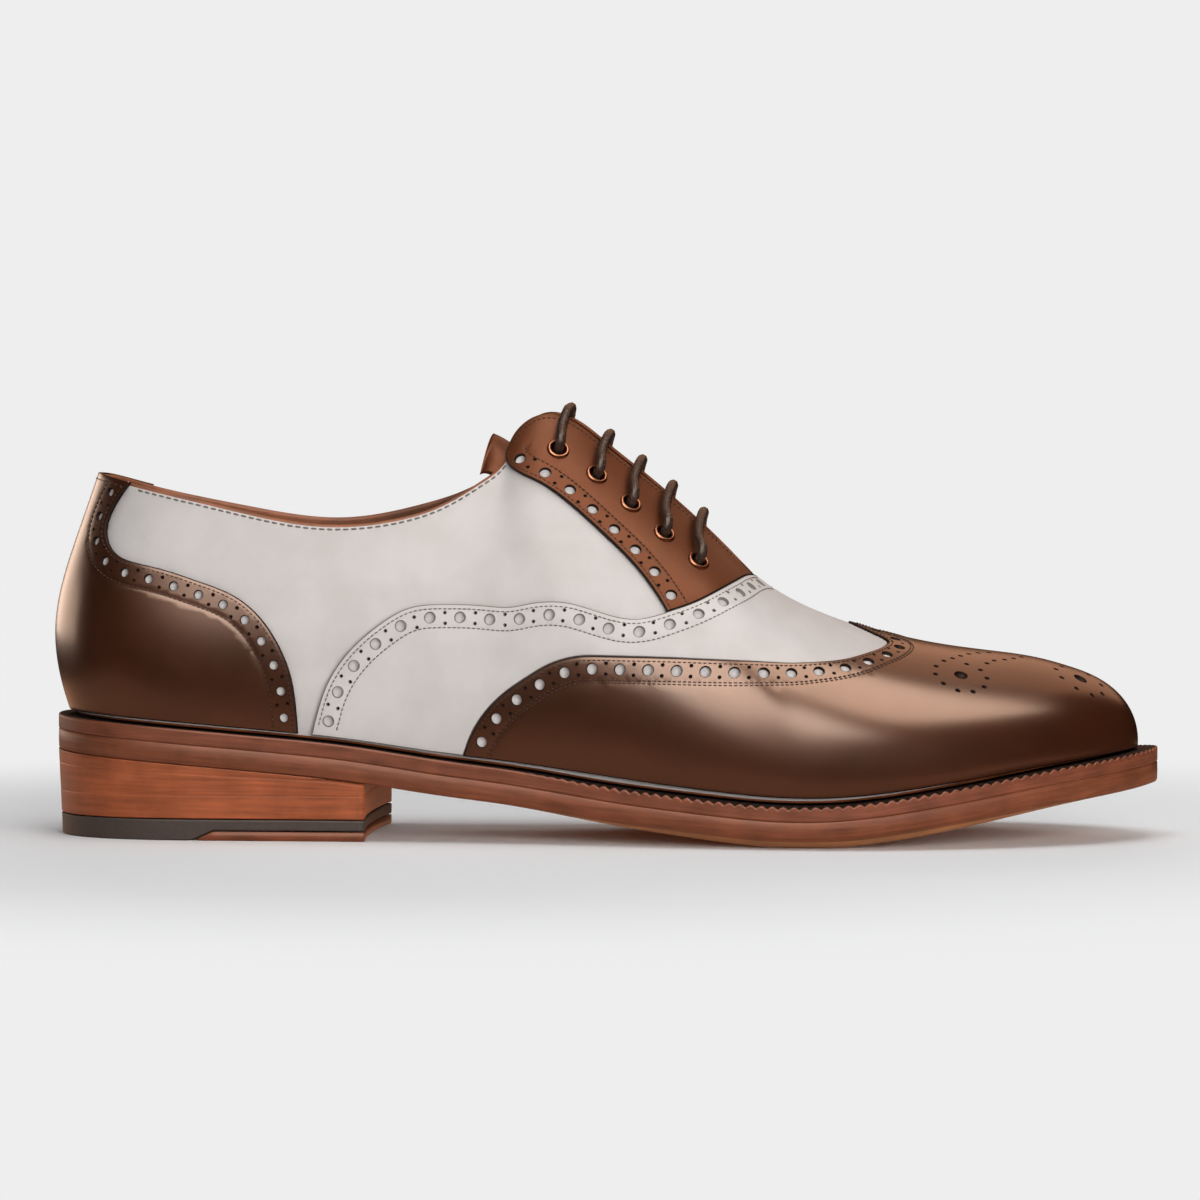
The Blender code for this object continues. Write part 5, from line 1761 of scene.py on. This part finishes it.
class SHOE_OT_laces(bpy.types.Operator):
    """The five bars of round waxed lace, each through its two eyelets"""

    bl_idname = "shoe.laces"
    bl_label = "Lace"

    def execute(self, context):
        radius = context.scene.shoe_sizes.lace / 2
        strands = 4
        plait = 3.2 * MM
        spacing = 0.28 * MM
        around = np.arange(28) * 2 * np.pi / 28
        for i, (station, girth) in enumerate(EYELETS):
            _, length = lace_points(station, girth, 3)
            count = int(length / spacing)
            path, _ = lace_points(station, girth, count)
            tangent = unit(np.gradient(path, axis=0))
            side = unit(np.cross(tangent, (0.8, 0, 0.6)))
            up = np.cross(side, tangent)
            phase = np.linspace(0, length, count) / plait * 2 * np.pi
            grid = []
            for k in range(count):
                weave = np.cos(strands * around + phase[k]) * np.cos(strands * around - phase[k])
                reach = radius * (0.95 + 0.06 * weave)
                grid.append(path[k] + turned(around, side[k], up[k]) * reach[:, None])
            shell = Shell()
            shell.cap_ends(loft(shell, np.array(grid), 0, loop_columns=True))
            made = shell.make(f"lace_{i + 1}", [finish("cotton")])
            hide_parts(f"lace_bar_{i + 1}")
        return {"FINISHED"}


def stitch_row(shell, line, lift, pitch, thick=1.0):
    """Stitches along a line of places, each a small capsule that dips in at its ends.

    Thick is a stitch's thickness in threads.
    """
    share = 0.72
    spots = walk(line, pitch)
    points = lifted(spots, lift)
    out = last_normal(*spots.T)
    run = unit(np.gradient(points, axis=0))
    side = unit(np.cross(out, run))
    half = 0.5 * share * pitch
    radius = 0.5 * bpy.context.scene.shoe_sizes.thread * thick
    ts = np.array((-1.0, -0.75, 0.0, 0.75, 1.0))
    widths = np.array((0.45, 0.9, 1.0, 0.9, 0.45))
    around = np.arange(6) * np.pi / 3
    for p, n, r, b in zip(points, out, run, side):
        centres = p + np.outer(ts * half, r) + np.outer(radius * (0.35 - 0.9 * ts**4), n)
        grid = centres[:, None] + turned(around, b, n)[None] * (radius * widths)[:, None, None]
        shell.cap_ends(loft(shell, grid, 0, loop_columns=True))


class SHOE_OT_stitches(bpy.types.Operator):
    """All the upper's stitching, white thread on white calf and brown thread on brown calf"""

    bl_idname = "shoe.stitches"
    bl_label = "Stitching"

    def execute(self, context):
        pitch = context.scene.shoe_sizes.stitch
        cap = OVERLAY_GAP + CAP_THICKNESS
        overlay = OVERLAY_GAP + OVERLAY_THICKNESS
        wing, vamp, counter = (edge_line(rows) for rows in (WING_LINE, VAMP_LINE, COUNTER_LINE))
        facing = facing_line()
        collar_pitch, counter_pitch = 2.2 * MM, 1.7 * MM
        collar_thick = 1.6

        def top_row(first, last, inset):
            """A row along the top line between two stations, this far below it."""
            return shift_line(run_at(1.0, first, last, 1 * MM), -inset)

        collar_white = top_row(counter[-1, 0] + 0.12, facing[0, 0] - 0.12, 1.5 * MM)
        collar_brown = top_row(-counter[-1, 0] + 0.1, counter[-1, 0] - 0.1, 1.8 * MM)
        throat = top_row(facing[0, 0] + 0.12, THROAT_STATION - 0.25, 1.7 * MM)
        dark = [(trimmed(shift_line(wing, -distance)), cap) for distance in WING_SEAMS]
        dark += [(trimmed(shift_line(counter, distance)), overlay) for distance in (EDGE_SEAM, COUNTER_SEAM)]
        for distance in (EDGE_SEAM, FACING_SEAM):
            dark.append((trimmed(shift_line(facing, distance), *FACING_SEAM_REACH), overlay))
        dark.append((throat, overlay))
        light = [(trimmed(shift_line(vamp, -distance), *VAMP_SEAM_REACH), overlay) for distance in VAMP_SEAMS]

        for name, thread_name, slot, lines in (
            ("stitches_brown", "dark_thread", "brown_calf", dark),
            ("stitches_white", "light_thread", "white_calf", light),
        ):
            shell = Shell()
            for line, lift in lines:
                stitch_row(shell, line, lift, pitch)
                stitch_row(shell, mirrored(line), lift, pitch)
            if lines is dark:
                stitch_row(shell, collar_brown, overlay, counter_pitch)
            else:
                stitch_row(shell, collar_white, 0.0, collar_pitch, collar_thick)
                stitch_row(shell, mirrored(collar_white), 0.0, collar_pitch, collar_thick)
            made = shell.make(name, [finish(thread_name)])
        return {"FINISHED"}


class SHOE_OT_stage(bpy.types.Operator):
    """The pale floor and backdrop, the soft lights and the camera"""

    bl_idname = "shoe.stage"
    bl_label = "Stage"

    def execute(self, context):
        scene = context.scene
        scene.view_settings.view_transform = "Standard"
        middle = np.array((STAGE_MIDDLE, 0.0, 64.3 * MM))
        distance = 1.5
        azimuth, elevation = np.radians(4.5), np.radians(2.3)
        away = np.array((
            np.sin(azimuth) * np.cos(elevation),
            -np.cos(azimuth) * np.cos(elevation),
            np.sin(elevation),
        ))
        data = bpy.data.cameras.new("camera")
        focal_pixels = 5455.5
        frame_pixels = 1200
        sensor = 36
        data.sensor_width = sensor
        data.lens = sensor * focal_pixels / frame_pixels
        camera = bpy.data.objects.new("camera", data)
        scene.collection.objects.link(camera)
        camera.location = (middle + away * distance).tolist()
        camera.rotation_euler = Vector((-away).tolist()).to_track_quat("-Z", "Y").to_euler()
        data.shift_x = 0.0006
        scene.camera = camera

        near = 0.45
        floor = sheet("floor", [(-near, 0.0), (0.0, 0.0), (near, 0.0)], near, paper())
        floor.visible_glossy = False
        bend, back, height, front, low = 0.6, 1.7, 1.9, -2.4, -0.2 * MM
        profile = [(front, low), (0.0, low)]
        for angle in np.radians(np.linspace(0, 90, 16)):
            profile.append((back - bend + bend * np.sin(angle), bend * (1 - np.cos(angle)) + low))
        profile.append((back, height))
        sweep = sheet("backdrop", profile, 2.8, backlit_paper())
        sweep.visible_diffuse = False
        sweep.visible_glossy = False

        card = sheet("reflector_card", [(-0.16, 0.1 * MM), (0.3, 0.1 * MM)], 0.3, backlit_card())
        card.visible_camera = False
        card.visible_diffuse = False
        card.visible_shadow = False

        def panel(name, place, width, depth, watts, tint=(1, 1, 1), roll=0.0, glossy=True, diffuse=True):
            """A soft panel turned to the shoe, seen in its gloss, in its diffuse light or in both."""
            light = bpy.data.lights.new(name, "AREA")
            light.shape = "RECTANGLE"
            light.size = width
            light.size_y = depth
            light.energy = watts
            light.color = tint
            made = bpy.data.objects.new(name, light)
            scene.collection.objects.link(made)
            made.location = place
            way = Vector(aim) - Vector(place)
            turn = way.to_track_quat("-Z", "Y").to_matrix().to_4x4()
            made.rotation_euler = (turn @ Matrix.Rotation(np.radians(roll), 4, "Z")).to_euler()
            made.visible_glossy = glossy
            made.visible_diffuse = diffuse
            made.visible_camera = False

        aim = (0.11, 0.0, 0.05)
        cream = (1.0, 0.82, 0.7)
        warm = (1.0, 0.74, 0.58)
        amber = (1.0, 0.5, 0.3)
        panel("key_softbox", (0.03, -0.41, 0.367), 0.41, 0.41, 3.9, cream, 45, diffuse=False)
        panel("key_diffuser", (0.65, -1.05, 0.3), 0.9, 0.5, 11.0, glossy=False)
        panel("toe_light", (0.42, -0.2, 1.15), 0.8, 0.9, 13.0, warm, diffuse=False)
        panel("back_light", (0.25, 0.95, 0.9), 1.5, 1.1, 4.5, amber, diffuse=False)
        panel("back_diffuser", (0.1, 1.2, 0.5), 0.9, 0.5, 5.0, glossy=False)
        panel("top_diffuser", (0.15, -0.1, 1.2), 0.9, 0.9, 6.0, glossy=False)
        panel("left_sheet", (-1.1, 0.7, 0.2), 1.4, 0.4, 4.5, warm, diffuse=False)
        world = bpy.data.worlds.new("studio")
        world.use_nodes = True
        background = world.node_tree.nodes["Background"]
        background.inputs["Color"].default_value = (0.95, 0.97, 1.0, 1)
        background.inputs["Strength"].default_value = 0.16
        world.cycles_visibility.glossy = False
        scene.world = world
        return {"FINISHED"}


def sheet(name, profile, half_width, material):
    """A sheet of paper across the stage, following a profile of depths and heights."""
    across = np.linspace(-half_width, half_width, 9) + STAGE_MIDDLE
    grid = np.array([[(x, y, z) for x in across] for y, z in profile])
    rows, columns = grid.shape[:2]
    index = np.arange(rows * columns).reshape(rows, columns)
    corners = [index[:-1, :-1], index[:-1, 1:], index[1:, 1:], index[1:, :-1]]
    mesh = bpy.data.meshes.new(name)
    mesh.from_pydata(grid.reshape(-1, 3).tolist(), [], np.stack([c.ravel() for c in corners], 1).tolist())
    mesh.materials.append(material)
    mesh.shade_smooth()
    made = bpy.data.objects.new(name, mesh)
    bpy.context.scene.collection.objects.link(made)
    return made


def backlit_paper():
    """Backdrop paper lit evenly from behind: one even tone, without shading of its own."""
    glow = (*bpy.context.scene.shoe_colours.paper, 1)
    return new_finish(
        "backlit_paper", Base_Color=(0, 0, 0, 1), Specular_IOR_Level=0.0, Roughness=1.0,
        Emission_Color=glow, Emission_Strength=1.0,
    )[0]


def backlit_card():
    """A tan card under the shoe, seen only in its gloss: it warms the polish near the welt."""
    tan = (0.55, 0.27, 0.16, 1)
    made = bpy.data.materials.new("tan_card")
    made.use_nodes = True
    made.node_tree.nodes.clear()
    glow = add_node(made.node_tree, "ShaderNodeEmission", Color=tan)
    end = made.node_tree.nodes.new("ShaderNodeOutputMaterial")
    made.node_tree.links.new(glow.outputs[0], end.inputs["Surface"])
    return made


def paper():
    """Pale floor paper: dead matt. Away from the shoe it is lit from behind, so its tone stays even."""
    c = bpy.context.scene.shoe_colours
    centre = (0.11, 0, 0)
    lit_from, lit_to = 0.17, 0.36
    made, tree, shader = new_finish(
        "floor_paper", Base_Color=(0.93, 0.93, 0.93, 1), Roughness=1.0, Specular_IOR_Level=0.0
    )
    position = add_node(tree, "ShaderNodeTexCoord").outputs["Object"]
    offset = add_node(tree, "ShaderNodeVectorMath", {"operation": "SUBTRACT"}, i0=position, i1=centre)
    far = add_node(tree, "ShaderNodeVectorMath", {"operation": "LENGTH"}, i0=offset.outputs[0])
    share = add_node(
        tree, "ShaderNodeMapRange", {"interpolation_type": "SMOOTHSTEP"}, Value=far.outputs["Value"],
        From_Min=lit_from, From_Max=lit_to,
    )
    glow = add_node(tree, "ShaderNodeEmission", Color=(*c.paper, 1), Strength=1.0)
    ends = {"i1": shader.outputs[0], "i2": glow.outputs[0]}
    mix = add_node(tree, "ShaderNodeMixShader", Fac=share.outputs[0], **ends)
    tree.links.new(mix.outputs[0], tree.nodes["Material Output"].inputs["Surface"])
    return made


OPERATORS = (
    SHOE_OT_quarters,
    SHOE_OT_wing_cap,
    SHOE_OT_vamp,
    SHOE_OT_counter,
    SHOE_OT_facings,
    SHOE_OT_tongue,
    SHOE_OT_insole,
    SHOE_OT_welt,
    SHOE_OT_outsole,
    SHOE_OT_heel,
    SHOE_OT_eyelets,
    SHOE_OT_laces,
    SHOE_OT_stitches,
    SHOE_OT_stage,
)


class SHOE_PT_panel(bpy.types.Panel):
    """Lists the shoe's sizes, colours and pieces"""

    bl_idname = "SHOE_PT_panel"
    bl_label = "Spectator shoe"
    bl_space_type = "VIEW_3D"
    bl_region_type = "UI"
    bl_category = "Shoe"

    def draw(self, context):
        for group in (context.scene.shoe_sizes, context.scene.shoe_colours):
            box = self.layout.box()
            for name in group.bl_rna.properties.keys():
                if name not in ("name", "rna_type"):
                    box.prop(group, name)
        for operator in OPERATORS:
            self.layout.operator(operator.bl_idname)


CLASSES = (ShoeSizes, ShoeColours, *OPERATORS, SHOE_PT_panel)


def register():
    for item in CLASSES:
        bpy.utils.register_class(item)
    bpy.types.Scene.shoe_sizes = PointerProperty(type=ShoeSizes)
    bpy.types.Scene.shoe_colours = PointerProperty(type=ShoeColours)


def unregister():
    del bpy.types.Scene.shoe_colours
    del bpy.types.Scene.shoe_sizes
    for item in reversed(CLASSES):
        bpy.utils.unregister_class(item)


def main():
    register()
    for operator in OPERATORS:
        group, name = operator.bl_idname.split(".")
        getattr(getattr(bpy.ops, group), name)()


if __name__ == "__main__":
    main()
